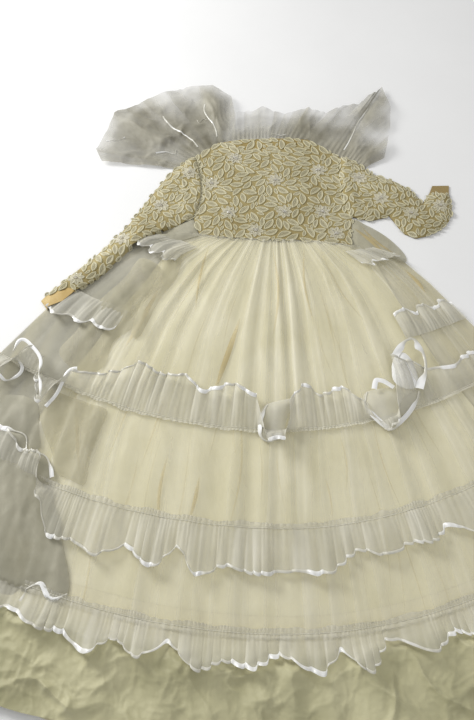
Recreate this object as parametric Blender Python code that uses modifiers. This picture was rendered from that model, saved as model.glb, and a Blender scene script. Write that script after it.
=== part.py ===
"""Floor-length gown laid flat, face up: lace bodice, long lace sleeves, sheer skirt with ribbon-edged ruffles.

Design frame, in metres: X to the right as seen from above, Y from the hem to the neck, Z up from the surface
that it lies on, with zero at the middle of the waist seam. The last step moves the whole gown so that the
origin is under the middle of its bounding box.
"""

import math

import bmesh
import bpy
import numpy as np
from mathutils import Vector
from mathutils.bvhtree import BVHTree
from mathutils.geometry import delaunay_2d_cdt

# Walls and clearances
SEAM_GAP = 0.0003
SHEER_WALL = 0.0010
LINING_WALL = 0.0010
RIBBON_WALL = 0.0012
RIBBON_GAP = 0.0007
LACE_WALL = 0.0015
FACING_WALL = 0.0012
REST_MARGIN = 0.0012

# Heights of the flat layers, from the surface up
BACK_LINING_LOW = SHEER_WALL + SEAM_GAP
FRONT_LINING_LOW = BACK_LINING_LOW + LINING_WALL + SEAM_GAP
FRONT_SHEER_LOW = FRONT_LINING_LOW + LINING_WALL + SEAM_GAP
BODICE_FRONT_LOW = LACE_WALL + SEAM_GAP

# Skirt, as drops below the waist along its middle
TIER_1_DROP = 0.530
TIER_2_DROP = 0.755
TIER_3_DROP = 0.965
SHEER_HEM_DROP = 0.975
BACK_HEM_DROP = 1.120
FLOUNCE_TOP_DROP = 0.930
HEM_DROP = 1.190
RIBBON_WIDTH = 0.010

# One row for each section of the skirt: its drop, where its two side edges lie, and the lining's share of it
SECTION_COLUMNS = ("drop", "left_x", "left_y", "right_x", "right_y", "lining")
SKIRT_SECTIONS = (
    (0.000, 0.196, 0.018, 0.193, -0.018, 0.97),
    (0.050, 0.262, 0.024, 0.248, -0.024, 0.90),
    (0.120, 0.345, 0.008, 0.322, -0.058, 0.80),
    (0.200, 0.430, -0.058, 0.385, -0.130, 0.75),
    (0.300, 0.524, -0.150, 0.440, -0.205, 0.74),
    (0.400, 0.592, -0.235, 0.490, -0.272, 0.74),
    (0.530, 0.665, -0.330, 0.550, -0.356, 0.76),
    (0.640, 0.720, -0.430, 0.610, -0.430, 0.77),
    (0.755, 0.765, -0.535, 0.665, -0.510, 0.78),
    (0.850, 0.800, -0.620, 0.710, -0.590, 0.79),
    (0.930, 0.826, -0.692, 0.743, -0.660, 0.80),
    (0.975, 0.838, -0.735, 0.760, -0.700, 0.81),
    (1.040, 0.855, -0.795, 0.785, -0.755, 0.82),
    (1.120, 0.872, -0.865, 0.812, -0.828, 0.84),
    (1.190, 0.884, -0.925, 0.832, -0.890, 0.86),
)
SKIRT_COLUMNS = 60
EDGE_CLEAR, EDGE_FALL = 0.02, 0.10
BACK_LINING_TUCK = 0.004
OUTLINE_STEPS = 14
SKIRT_FOLDS = 17
FOLD_HEIGHT = ((0.00, 0.0025), (0.12, 0.0050), (0.34, 0.0075), (0.53, 0.0030), (0.66, 0.0065), (0.98, 0.0030))

# Ruffles, one row for each lobe: place across the seam, reach of the free edge towards the waist, and its
# lift. A negative reach hangs towards the hem. The upper ruffle lies flipped up, and flops down in places.
LOBE_COLUMNS = ("x", "reach", "lift")
TIER_1_LOBES = (
    (-0.665, -0.070, 0.010),
    (-0.630, -0.050, 0.024),
    (-0.600, 0.050, 0.026),
    (-0.570, 0.038, 0.012),
    (-0.545, -0.030, 0.024),
    (-0.522, -0.070, 0.014),
    (-0.490, 0.035, 0.022),
    (-0.440, 0.055, 0.010),
    (-0.400, 0.080, 0.004),
    (-0.355, 0.116, 0.012),
    (-0.300, 0.104, 0.004),
    (-0.240, 0.110, 0.013),
    (-0.190, 0.082, 0.004),
    (-0.120, 0.104, 0.012),
    (-0.060, 0.082, 0.012),
    (-0.030, -0.040, 0.024),
    (0.005, -0.034, 0.020),
    (0.030, 0.078, 0.020),
    (0.065, 0.106, 0.008),
    (0.100, 0.080, 0.003),
    (0.150, 0.092, 0.011),
    (0.190, 0.050, 0.018),
    (0.225, -0.045, 0.020),
    (0.254, -0.034, 0.026),
    (0.292, 0.134, 0.032),
    (0.328, 0.118, 0.022),
    (0.370, 0.086, 0.005),
    (0.425, 0.070, 0.012),
    (0.480, 0.084, 0.004),
    (0.550, 0.070, 0.010),
)
TIER_2_LOBES = (
    (-0.765, 0.060, 0.010),
    (-0.700, 0.086, 0.004),
    (-0.630, 0.074, 0.014),
    (-0.585, 0.050, 0.004),
    (-0.545, 0.056, 0.020),
    (-0.512, -0.040, 0.024),
    (-0.465, -0.108, 0.006),
    (-0.425, -0.098, 0.003),
    (-0.375, -0.114, 0.012),
    (-0.318, -0.080, 0.003),
    (-0.262, -0.112, 0.014),
    (-0.214, -0.062, 0.003),
    (-0.172, -0.114, 0.014),
    (-0.120, -0.088, 0.003),
    (-0.045, -0.102, 0.012),
    (0.000, -0.092, 0.003),
    (0.075, -0.102, 0.013),
    (0.150, -0.062, 0.003),
    (0.200, -0.084, 0.013),
    (0.248, -0.070, 0.003),
    (0.290, -0.082, 0.012),
    (0.330, -0.062, 0.003),
    (0.390, -0.102, 0.014),
    (0.445, -0.078, 0.003),
    (0.505, -0.102, 0.012),
    (0.560, -0.080, 0.003),
    (0.615, -0.100, 0.012),
    (0.665, -0.086, 0.004),
)
TIER_3_LOBES = (
    (-0.834, -0.070, 0.010),
    (-0.775, -0.054, 0.003),
    (-0.715, -0.080, 0.012),
    (-0.655, -0.056, 0.003),
    (-0.600, -0.072, 0.012),
    (-0.540, -0.056, 0.003),
    (-0.480, -0.072, 0.010),
    (-0.435, -0.066, 0.003),
    (-0.385, -0.090, 0.013),
    (-0.330, -0.050, 0.003),
    (-0.286, -0.074, 0.013),
    (-0.230, -0.038, 0.003),
    (-0.170, -0.080, 0.013),
    (-0.120, -0.058, 0.003),
    (-0.070, -0.068, 0.012),
    (-0.016, -0.042, 0.003),
    (0.060, -0.078, 0.013),
    (0.102, -0.040, 0.003),
    (0.150, -0.084, 0.013),
    (0.196, -0.030, 0.003),
    (0.275, -0.072, 0.014),
    (0.322, -0.050, 0.003),
    (0.370, -0.076, 0.012),
    (0.430, -0.052, 0.003),
    (0.490, -0.078, 0.012),
    (0.550, -0.054, 0.003),
    (0.610, -0.078, 0.012),
    (0.670, -0.054, 0.003),
    (0.757, -0.072, 0.010),
)
TIERS = (
    ("tier_3", TIER_3_DROP, TIER_3_LOBES),
    ("tier_2", TIER_2_DROP, TIER_2_LOBES),
    ("tier_1", TIER_1_DROP, TIER_1_LOBES),
)
TIER_COLUMNS = 80
PROFILE_STEPS = 8
SEAM_SETTLE = 0.25
CREST_SHARE = 0.74
RUFFLE_SHARES = (0.0, 0.33, 0.67, 1.0)
STEEPEST = 3.0
WIDEST_RIBBON = 0.45
SIDE_COLUMNS = 14

# Short ruffles at the sides, one row each: seam drop, where they start and end as shares of the half width,
# and the reach at their inner and outer ends
SIDE_COLUMN_NAMES = ("name", "drop", "start", "end", "inner_reach", "outer_reach")
SIDE_RUFFLES = (
    ("side_left_upper", 0.070, -0.995, -0.700, -0.082, -0.075),
    ("side_left_lower", 0.292, -0.995, -0.700, -0.074, -0.088),
    ("side_right_upper", 0.052, 0.700, 0.995, -0.074, -0.070),
    ("side_right_lower", 0.345, 0.660, 0.995, 0.088, 0.072),
)
SIDE_LOBES = 3
SIDE_SCALLOP = 0.18
SIDE_LIFT, SIDE_LEAST_LIFT = 0.009, 0.25

# Crumpled hem flounce of the lining
FLOUNCE_COLUMNS = 60
FLOUNCE_FOLDS = 14
FLOUNCE_LIFT, FLOUNCE_RIDGE_SHARE = 0.013, 0.30
FLOUNCE_SETTLE = 0.06
HEM_WANDER = 0.010
FLOUNCE_ROWS = (FLOUNCE_TOP_DROP + SEAM_GAP, 0.985, 1.050, 1.120, HEM_DROP)

# Bodice outline: armholes from the underarm up to the shoulder, necklines from the gown's right to its left
ARMHOLE_LEFT = ((-0.214, 0.077), (-0.200, 0.118), (-0.196, 0.170), (-0.202, 0.230), (-0.214, 0.284))
ARMHOLE_RIGHT = ((0.205, 0.077), (0.188, 0.120), (0.180, 0.170), (0.180, 0.230), (0.184, 0.286))
NECK_LEFT, NECK_RIGHT = (-0.150, 0.340), (0.098, 0.354)
FRONT_NECKLINE = (
    NECK_LEFT, (-0.118, 0.322), (-0.075, 0.307), (-0.028, 0.302), (0.022, 0.308), (0.064, 0.328), NECK_RIGHT,
)
BACK_NECKLINE = (NECK_LEFT, (-0.104, 0.352), (-0.028, 0.358), (0.050, 0.359), NECK_RIGHT)
WAIST_STEPS = 8
BODICE_DOME = 0.009
BODICE_CENTRE = (-0.008, 0.170)
BODICE_HALF_SIZE = (0.205, 0.185)
BODICE_STEP = 0.030
BODICE_GRID = 0.060

# Sleeves: the edge from the shoulder to the wrist, the edge from the wrist back to the underarm, and what
# ends them. The left one shows its facing at the wrist. The right one is bent at the elbow, with a plain band.
SLEEVE_LEFT_OUTER = (
    (-0.248, 0.262), (-0.284, 0.222), (-0.332, 0.142), (-0.380, 0.056), (-0.424, -0.004), (-0.474, -0.066),
    (-0.521, -0.116), (-0.574, -0.172),
)
SLEEVE_LEFT_INNER = (
    (-0.497, -0.159), (-0.452, -0.124), (-0.412, -0.078), (-0.368, -0.024), (-0.306, 0.020), (-0.253, 0.050),
)
LACE_END_LEFT = ((-0.562, -0.172), (-0.523, -0.150))
FACING_END_LEFT = ((-0.583, -0.184), (-0.564, -0.212), (-0.526, -0.194))
SLEEVE_RIGHT_OUTER = (
    (0.232, 0.266), (0.272, 0.226), (0.328, 0.199), (0.372, 0.166), (0.397, 0.122), (0.420, 0.160),
)
SLEEVE_RIGHT_INNER = (
    (0.4715, 0.160), (0.472, 0.106), (0.458, 0.062), (0.416, 0.026), (0.366, 0.008), (0.338, 0.022),
    (0.303, 0.082), (0.257, 0.066),
)
ELBOW_CORNERS = ((0.397, 0.122), (0.303, 0.082))
BAND_END_RIGHT = ((0.430, 0.184), (0.475, 0.185))
SLEEVE_DOME, SLEEVE_ROUNDING = 0.007, 0.030
SLEEVE_STEP, SLEEVE_GRID = 0.024, 0.028
EDGE_SHARE = 0.35

# Lace relief
FLOWER_PITCH = (0.112, 0.096)
FLOWER_RADIUS = 0.012
FLOWER_HEIGHT = 0.0018
LEAVES_ROUND_FLOWER = 6
LEAF_RING_RADIUS = 0.034
LEAF_LENGTH, LEAF_WIDTH, LEAF_HEIGHT = 0.029, 0.0125, 0.0016
LEAF_SWIRL = math.radians(24)
LEAF_OUTLINE = ((1.0, 0.0), (0.35, 1.0), (-0.45, 0.9), (-1.0, 0.0), (-0.45, -0.9), (0.35, -1.0))
LEAF_RIDGE = (0.42, -0.45)
LACE_MARGIN = 0.004
MOTIF_GAP = 0.0022
LATTICE_REACH = 6
FILL_PITCH = 0.0135
FILL_ANGLES = (0.5, 2.2, 1.3, 0.0)
BODICE_FLOWER = (-0.010, 0.165)
LEFT_SLEEVE_FLOWER = (-0.330, 0.080)
RIGHT_SLEEVE_FLOWER = (0.260, 0.150)

# Cape ruffle behind the shoulders, one row for each station: place along its seam, free edge and lift
STATION_COLUMNS = ("place", "x", "y", "lift")
CAPE_STATIONS = (
    (0.000, -0.470, 0.268, 0.002),
    (0.033, -0.487, 0.318, 0.012),
    (0.067, -0.462, 0.392, 0.004),
    (0.100, -0.448, 0.452, 0.014),
    (0.137, -0.388, 0.484, 0.004),
    (0.181, -0.320, 0.534, 0.016),
    (0.230, -0.245, 0.554, 0.006),
    (0.265, -0.170, 0.562, 0.018),
    (0.298, -0.116, 0.520, 0.006),
    (0.341, -0.104, 0.452, 0.014),
    (0.404, -0.064, 0.464, 0.004),
    (0.467, -0.024, 0.480, 0.015),
    (0.536, 0.040, 0.448, 0.004),
    (0.605, 0.108, 0.472, 0.015),
    (0.668, 0.156, 0.458, 0.004),
    (0.700, 0.200, 0.480, 0.014),
    (0.748, 0.256, 0.496, 0.004),
    (0.811, 0.300, 0.536, 0.016),
    (0.869, 0.326, 0.560, 0.006),
    (0.906, 0.341, 0.480, 0.014),
    (0.947, 0.334, 0.392, 0.004),
    (0.980, 0.316, 0.322, 0.010),
    (1.000, 0.308, 0.284, 0.002),
)
CAPE_STEP = 0.013
CAPE_SLEEVE_POINTS = 4
CAPE_SHARES = (0.0, 0.30, 0.66, 1.0)
CAPE_RIBBON_PLACES = (0.155, 0.248, 0.862)
CAPE_RIBBON_ROWS = ((0.10, 0.0012), (0.20, 0.0009), (0.30, 0.0003), (0.48, 0.0003), (0.66, 0.0003))
CAPE_RIBBON_HALF = 0.0035

# Colours: base colour and roughness
COLOURS = {
    "sheer": ((0.74, 0.73, 0.66), 0.45),
    "lining": ((0.80, 0.76, 0.58), 0.50),
    "ribbon": ((0.90, 0.88, 0.80), 0.25),
    "lace": ((0.76, 0.70, 0.50), 0.70),
    "facing": ((0.62, 0.52, 0.28), 0.50),
}


def clear_scene():
    for obj in list(bpy.data.objects):
        bpy.data.objects.remove(obj, do_unlink=True)


def new_collection(name):
    made = bpy.data.collections.new(name)
    bpy.context.scene.collection.children.link(made)
    return made


def make_materials():
    made = {}
    for name, (colour, roughness) in COLOURS.items():
        material = bpy.data.materials.new(name)
        material.use_nodes = True
        shader = material.node_tree.nodes["Principled BSDF"]
        shader.inputs["Base Color"].default_value = (*colour, 1.0)
        shader.inputs["Roughness"].default_value = roughness
        made[name] = material
    return made


def column(table, names, name):
    """One named column of a table, as an array."""
    place = names.index(name)
    return np.array([row[place] for row in table], float)


def smooth_between(x, xs, ys):
    """Value at x between table rows, easing in and out of each row."""
    i = int(np.clip(np.searchsorted(xs, x) - 1, 0, len(xs) - 2))
    share = float(np.clip((x - xs[i]) / (xs[i + 1] - xs[i]), 0.0, 1.0))
    eased = share * share * (3.0 - 2.0 * share)
    return ys[i] + (ys[i + 1] - ys[i]) * eased


# Skirt form

SECTIONS = {name: column(SKIRT_SECTIONS, SECTION_COLUMNS, name) for name in SECTION_COLUMNS}


def half_width(drop, side):
    return float(np.interp(drop, SECTIONS["drop"], SECTIONS["left_x" if side < 0 else "right_x"]))


def skirt_point(drop, across):
    """Place on the skirt: across runs from -1 at the left side edge to 1 at the right one."""
    side = "left_y" if across < 0 else "right_y"
    rise = float(np.interp(drop, SECTIONS["drop"], SECTIONS[side])) + drop
    return across * half_width(drop, across), rise * across * across - drop


def lining_share(drop):
    return float(np.interp(drop, SECTIONS["drop"], SECTIONS["lining"]))


def fold_phase(across):
    """Uneven spacing of the skirt's folds."""
    drift = 0.45 * math.sin(5.0 * across + 0.6) + 0.25 * math.sin(13.0 * across)
    return SKIRT_FOLDS * (across + 1.0) / 2.0 + drift


def skirt_fold(drop, across):
    """Height of the folds that fall from the gathered waist."""
    crest = float(np.interp(drop, *zip(*FOLD_HEIGHT)))
    wave = 0.5 + 0.5 * math.cos(2.0 * math.pi * fold_phase(across))
    uneven = 0.72 + 0.28 * math.sin(9.0 * across + 4.0 * drop)
    return crest * uneven * wave


def front_sheer_height(drop, across):
    """Underside of the sheer front: on the lining in the middle, down on the back sheer at the sides."""
    beyond = (abs(across) - lining_share(drop) - EDGE_CLEAR) / EDGE_FALL
    share = min(max(beyond, 0.0), 1.0)
    low = FRONT_SHEER_LOW + (BACK_LINING_LOW - FRONT_SHEER_LOW) * share * share * (3.0 - 2.0 * share)
    return low + skirt_fold(drop, across)


# Solids

class Gown:
    """The gown's pieces, and the height of what lies under a new one."""

    def __init__(self):
        self.collection = new_collection("gown")
        self.materials = make_materials()
        self.points = []
        self.faces = []
        self.tree = None

    def add(self, name, data, material):
        obj = bpy.data.objects.new(name, data)
        obj.data.materials.append(self.materials[material])
        self.collection.objects.link(obj)
        return obj

    def settle(self, obj):
        """Counts obj among the pieces that later ones lie on."""
        bpy.context.view_layer.update()
        evaluated = obj.evaluated_get(bpy.context.evaluated_depsgraph_get())
        mesh = evaluated.to_mesh()
        start = len(self.points)
        self.points += [obj.matrix_world @ v.co for v in mesh.vertices]
        self.faces += [[start + i for i in p.vertices] for p in mesh.polygons]
        evaluated.to_mesh_clear()
        self.tree = BVHTree.FromPolygons(self.points, self.faces)
        return obj

    def rest_height(self, x, y, reach, tree=None):
        """Highest top of what lies within reach of a place, or zero on the bare surface."""
        found = 0.0
        tree = tree or self.tree
        ring = [(0.0, 0.0)]
        for share in (0.5, 1.0):
            turn = [2.0 * math.pi * k / 8 for k in range(8)]
            ring += [(share * reach * math.cos(a), share * reach * math.sin(a)) for a in turn]
        for dx, dy in ring:
            hit = tree.ray_cast(Vector((x + dx, y + dy, 1.0)), Vector((0.0, 0.0, -1.0)))[0]
            if hit is not None:
                found = max(found, hit.z)
        return found


def grid_mesh(name, points):
    """Open surface through a grid of points, rows by columns."""
    rows, columns = len(points), len(points[0])
    bm = bmesh.new()
    bmesh.ops.create_grid(bm, x_segments=columns - 1, y_segments=rows - 1, size=1.0)
    for vertex in bm.verts:
        i = round((vertex.co.x + 1.0) / 2.0 * (columns - 1))
        j = round((vertex.co.y + 1.0) / 2.0 * (rows - 1))
        vertex.co = points[j][i]
    mesh = bpy.data.meshes.new(name)
    bm.to_mesh(mesh)
    bm.free()
    return mesh


def cloth(gown, name, points, wall, material):
    """Cloth wall with its middle on a grid of points."""
    obj = gown.add(name, grid_mesh(name, points), material)
    thicken = obj.modifiers.new("wall", "SOLIDIFY")
    thicken.thickness = wall
    thicken.offset = 0.0
    thicken.use_even_offset = False
    obj.data.shade_smooth()
    return gown.settle(obj)


def flat_panel(gown, name, outline, low, wall, material):
    """Panel that lies flat, cut to an outline."""
    curve = bpy.data.curves.new(name, "CURVE")
    curve.dimensions = "2D"
    curve.fill_mode = "BOTH"
    curve.extrude = wall / 2.0
    spline = curve.splines.new("POLY")
    spline.points.add(len(outline) - 1)
    for point, (x, y) in zip(spline.points, outline):
        point.co = (x, y, 0.0, 1.0)
    spline.use_cyclic_u = True
    obj = gown.add(name, curve, material)
    obj.location.z = low + wall / 2.0
    return gown.settle(obj)


def skirt_outline(top, hem, share_at):
    """Outline of a skirt panel: down the left, along the hem, up the right and back along the top."""
    drops = [top, *(d for d in SECTIONS["drop"] if top < d < hem), hem]
    left = [skirt_point(d, -share_at(d)) for d in drops]
    right = [skirt_point(d, share_at(d)) for d in reversed(drops)]
    steps = [2.0 * k / OUTLINE_STEPS - 1.0 for k in range(1, OUTLINE_STEPS)]
    bottom = [skirt_point(hem, share_at(hem) * a) for a in steps]
    upper = [skirt_point(top, -share_at(top) * a) for a in steps]
    return left + bottom + right + upper


def build_skirt_layers(gown):
    whole = skirt_outline(0.0, BACK_HEM_DROP, lambda drop: 1.0)
    flat_panel(gown, "skirt_back_sheer", whole, 0.0, SHEER_WALL, "sheer")
    back = skirt_outline(0.0, HEM_DROP - BACK_LINING_TUCK, lining_share)
    flat_panel(gown, "skirt_back_lining", back, BACK_LINING_LOW, LINING_WALL, "lining")
    front = skirt_outline(0.0, FLOUNCE_TOP_DROP, lining_share)
    flat_panel(gown, "skirt_front_lining", front, FRONT_LINING_LOW, LINING_WALL, "lining")


def flounce_crumple(along, drop):
    """Height of the flounce's crumples as a share of the tallest: long folds with short ridges on them."""
    phase = FLOUNCE_FOLDS * (along + 1.0) / 2.0 + 0.5 * math.sin(6.0 * along) + 1.8 * (drop - HEM_DROP)
    fold = 0.5 + 0.5 * math.cos(2.0 * math.pi * phase)
    ridge = 0.5 + 0.5 * math.sin(31.0 * along + 38.0 * drop)
    return (1.0 - FLOUNCE_RIDGE_SHARE) * fold + FLOUNCE_RIDGE_SHARE * ridge


def build_flounce(gown):
    """Hem flounce of the lining, lying crumpled."""
    points = []
    for drop in FLOUNCE_ROWS:
        slack = min(max((drop - FLOUNCE_ROWS[1]) / FLOUNCE_SETTLE, 0.0), 1.0)
        row = []
        for k in range(FLOUNCE_COLUMNS):
            along = 2.0 * k / (FLOUNCE_COLUMNS - 1) - 1.0
            wander = HEM_WANDER * math.sin(11.0 * along + 1.0) if drop == HEM_DROP else 0.0
            x, y = skirt_point(drop - wander, along * lining_share(drop))
            lift = FLOUNCE_LIFT * slack * flounce_crumple(along, drop)
            row.append((x, y, FRONT_LINING_LOW + LINING_WALL / 2.0 + lift))
        points.append(row)
    cloth(gown, "lining_hem_flounce", points, LINING_WALL, "lining")


def build_front_sheer(gown):
    drops = [d for d in SECTIONS["drop"] if d < TIER_3_DROP and d != FLOUNCE_TOP_DROP] + [SHEER_HEM_DROP]
    points = []
    for drop in drops:
        row = []
        for k in range(SKIRT_COLUMNS):
            across = 2.0 * k / (SKIRT_COLUMNS - 1) - 1.0
            x, y = skirt_point(drop, across)
            row.append((x, y, front_sheer_height(drop, across) + SHEER_WALL / 2.0))
        points.append(row)
    cloth(gown, "skirt_front_sheer", points, SHEER_WALL, "sheer")


# Ruffles

def surface_normals(surface, shared):
    """Upward normals over a grid of points. The row at shared and the next one take the same normals."""
    along = np.gradient(surface, axis=1)
    across = np.gradient(surface, axis=0)
    across[shared] = across[shared + 1] = surface[shared + 2] - surface[shared - 1]
    along[shared] = along[shared + 1]
    normals = np.cross(along, across)
    normals /= np.linalg.norm(normals, axis=2, keepdims=True)
    return normals if normals[..., 2].mean() > 0.0 else -normals


def grid_wall(name, surface, offset):
    """Closed wall between two surfaces, one on each side of a grid of points."""
    rows, columns = surface.shape[:2]
    bm = bmesh.new()
    upper = [[bm.verts.new(p) for p in row] for row in surface + offset]
    lower = [[bm.verts.new(p) for p in row] for row in surface - offset]
    for j in range(rows - 1):
        for i in range(columns - 1):
            bm.faces.new((upper[j][i], upper[j][i + 1], upper[j + 1][i + 1], upper[j + 1][i]))
            bm.faces.new((lower[j][i], lower[j + 1][i], lower[j + 1][i + 1], lower[j][i + 1]))
    rim = [(0, i) for i in range(columns)] + [(j, columns - 1) for j in range(1, rows)]
    rim += [(rows - 1, i) for i in range(columns - 2, -1, -1)] + [(j, 0) for j in range(rows - 2, 0, -1)]
    for (a, b), (c, d) in zip(rim, rim[1:] + rim[:1]):
        bm.faces.new((upper[a][b], lower[a][b], lower[c][d], upper[c][d]))
    bmesh.ops.recalc_face_normals(bm, faces=bm.faces)
    mesh = bpy.data.meshes.new(name)
    bm.to_mesh(mesh)
    bm.free()
    mesh.shade_smooth()
    return mesh


def run_along(line):
    """Length from a line's start to each of its points."""
    steps = np.linalg.norm(np.diff(np.array(line), axis=0), axis=1)
    return np.concatenate([[0.0], np.cumsum(steps)])


def profile_length(profile):
    return run_along(profile)[-1]


def along_profile(profile, lengths):
    """Points at given lengths along a profile's own line."""
    run = run_along(profile)
    return [tuple(np.interp(s, run, profile[:, axis]) for axis in range(3)) for s in lengths]


def ruffle_profile(gown, seam_drop, across, reach, lift, spacing):
    """Line of the ruffle's wall from its seam to its free edge, over what lies below it."""
    half_wall = SHEER_WALL / 2.0
    profile = []
    for k in range(PROFILE_STEPS + 1):
        share = k / PROFILE_STEPS
        x, y = skirt_point(seam_drop - reach * share, across)
        below = gown.rest_height(x, y, spacing)
        clear = SEAM_GAP + REST_MARGIN * min(1.0, share / SEAM_SETTLE)
        swell = math.sin(min(1.0, share / CREST_SHARE) * math.pi / 2.0)
        profile.append((x, y, below + clear + half_wall + lift * swell))
    return np.array(profile)


def build_ruffle(gown, name, seam_drop, stations):
    """Ruffle wall and the ribbon that edges it. Stations hold across, reach and lift for each column."""
    xs = [skirt_point(seam_drop, s[0])[0] for s in stations]
    spacing = max(np.abs(np.diff(xs))) * 0.6
    steepness = np.gradient([s[1] for s in stations], xs)
    cloth_rows, ribbon_rows = [], []
    for (across, reach, lift), steep in zip(stations, steepness):
        profile = ruffle_profile(gown, seam_drop, across, reach, lift, spacing)
        full = profile_length(profile)
        skew = min(math.hypot(1.0, steep), STEEPEST)
        body = full - min(RIBBON_WIDTH * skew, WIDEST_RIBBON * full)
        cloth_end = body - RIBBON_GAP * skew
        cloth_rows.append(along_profile(profile, [share * cloth_end for share in RUFFLE_SHARES]))
        ribbon_rows.append(along_profile(profile, (body, full)))
    surface = np.array(list(zip(*cloth_rows)) + list(zip(*ribbon_rows)))
    normals = surface_normals(surface, len(RUFFLE_SHARES) - 1)
    split = len(RUFFLE_SHARES)
    ruffle = grid_wall(f"{name}_ruffle", surface[:split], normals[:split] * SHEER_WALL / 2.0)
    ribbon = grid_wall(f"{name}_ribbon", surface[split:], normals[split:] * RIBBON_WALL / 2.0)
    gown.settle(gown.add(ruffle.name, ruffle, "sheer"))
    gown.settle(gown.add(ribbon.name, ribbon, "ribbon"))


def tier_stations(seam_drop, lobes):
    """Columns of a full tier, closer together where its lobes are narrow."""
    xs = column(lobes, LOBE_COLUMNS, "x")
    lobe_places = np.linspace(0.0, len(xs) - 1.0, TIER_COLUMNS)
    stations = []
    for place in lobe_places:
        x = float(np.interp(place, range(len(xs)), xs))
        reach = smooth_between(x, xs, column(lobes, LOBE_COLUMNS, "reach"))
        lift = smooth_between(x, xs, column(lobes, LOBE_COLUMNS, "lift"))
        across = float(np.clip(x / half_width(seam_drop, x), -0.997, 0.997))
        stations.append((across, reach, lift))
    return stations


def side_stations(side):
    stations = []
    for k in range(SIDE_COLUMNS):
        share = k / (SIDE_COLUMNS - 1)
        across = side["start"] + (side["end"] - side["start"]) * share
        outer = share if side["start"] > 0 else 1.0 - share
        full_reach = side["inner_reach"] + (side["outer_reach"] - side["inner_reach"]) * outer
        wave = 0.5 - 0.5 * math.cos(2.0 * math.pi * SIDE_LOBES * share)
        reach = full_reach * (1.0 - SIDE_SCALLOP * (1.0 - wave))
        stations.append((across, reach, SIDE_LIFT * (SIDE_LEAST_LIFT + (1.0 - SIDE_LEAST_LIFT) * wave)))
    return stations


def build_ruffles(gown):
    for row in SIDE_RUFFLES:
        side = dict(zip(SIDE_COLUMN_NAMES, row))
        build_ruffle(gown, side["name"], side["drop"], side_stations(side))
    for name, drop, lobes in TIERS:
        build_ruffle(gown, name, drop, tier_stations(drop, lobes))


# Lace panels

def inside(point, outline):
    """Whether a point is within an outline, by counting the edges to its right."""
    x, y = point
    crossings = 0
    for (ax, ay), (bx, by) in zip(outline, outline[1:] + outline[:1]):
        if (ay > y) != (by > y) and x < ax + (y - ay) * (bx - ax) / (by - ay):
            crossings += 1
    return crossings % 2 == 1


def edge_distance(point, outline):
    nearest = math.inf
    p = np.array(point)
    for a, b in zip(outline, outline[1:] + outline[:1]):
        a, b = np.array(a), np.array(b)
        share = np.clip(np.dot(p - a, b - a) / np.dot(b - a, b - a), 0.0, 1.0)
        nearest = min(nearest, float(np.linalg.norm(p - a - share * (b - a))))
    return nearest


def fits(shape, outline, taken):
    """Whether a motif lies within the panel and clear of the motifs already placed."""
    if not all(inside(p, outline) and edge_distance(p, outline) > LACE_MARGIN for p in shape):
        return False
    centre = np.mean(shape, axis=0)
    for other in taken:
        if np.linalg.norm(np.mean(other, axis=0) - centre) > LEAF_LENGTH * 1.3:
            continue
        if any(inside(p, other) or edge_distance(p, other) < MOTIF_GAP for p in shape):
            return False
        if any(inside(p, list(shape)) for p in other):
            return False
    return True


def leaf_shape(centre, angle):
    c, s = math.cos(angle), math.sin(angle)
    places = [(px * LEAF_LENGTH / 2.0, py * LEAF_WIDTH / 2.0) for px, py in LEAF_OUTLINE]
    return [(centre[0] + px * c - py * s, centre[1] + px * s + py * c) for px, py in places]


def leaf_ridge(centre, angle):
    ends = [share * LEAF_LENGTH / 2.0 for share in LEAF_RIDGE]
    return [(centre[0] + e * math.cos(angle), centre[1] + e * math.sin(angle)) for e in ends]


def flower_shape(centre):
    turns = [2.0 * math.pi * k / 6 for k in range(6)]
    return [(centre[0] + FLOWER_RADIUS * math.cos(a), centre[1] + FLOWER_RADIUS * math.sin(a)) for a in turns]


def lace_motifs(outline, start):
    """Flowers on a staggered lattice, each in a swirl of leaves, and more leaves in the spaces between."""
    flowers, leaves, taken = [], [], []
    low, high = np.min(outline, axis=0), np.max(outline, axis=0)
    lattice = []
    for j in range(-LATTICE_REACH, LATTICE_REACH + 1):
        for i in range(-LATTICE_REACH, LATTICE_REACH + 1):
            x = start[0] + FLOWER_PITCH[0] * (i + 0.5 * (j % 2))
            y = start[1] + FLOWER_PITCH[1] * j * 0.5
            near_x = low[0] - LEAF_RING_RADIUS < x < high[0] + LEAF_RING_RADIUS
            near_y = low[1] - LEAF_RING_RADIUS < y < high[1] + LEAF_RING_RADIUS
            if near_x and near_y:
                lattice.append((x, y, j))
    for x, y, j in lattice:
        shape = flower_shape((x, y))
        if fits(shape, outline, taken):
            flowers.append((x, y))
            taken.append(shape)
    for x, y, j in lattice:
        for k in range(LEAVES_ROUND_FLOWER):
            turn = 2.0 * math.pi * (k + 0.25 * (j % 2)) / LEAVES_ROUND_FLOWER
            place = (x + LEAF_RING_RADIUS * math.cos(turn), y + LEAF_RING_RADIUS * math.sin(turn))
            for angle in (turn + LEAF_SWIRL, turn - LEAF_SWIRL, turn + math.pi / 2.0):
                shape = leaf_shape(place, angle)
                if fits(shape, outline, taken):
                    leaves.append((place, angle))
                    taken.append(shape)
                    break
    for j in range(round((high[1] - low[1]) / FILL_PITCH)):
        for i in range(round((high[0] - low[0]) / FILL_PITCH)):
            place = (low[0] + FILL_PITCH * (i + 0.5 * (j % 2)), low[1] + FILL_PITCH * j)
            for angle in FILL_ANGLES:
                shape = leaf_shape(place, angle)
                if fits(shape, outline, taken):
                    leaves.append((place, angle))
                    taken.append(shape)
                    break
    return flowers, leaves


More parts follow.
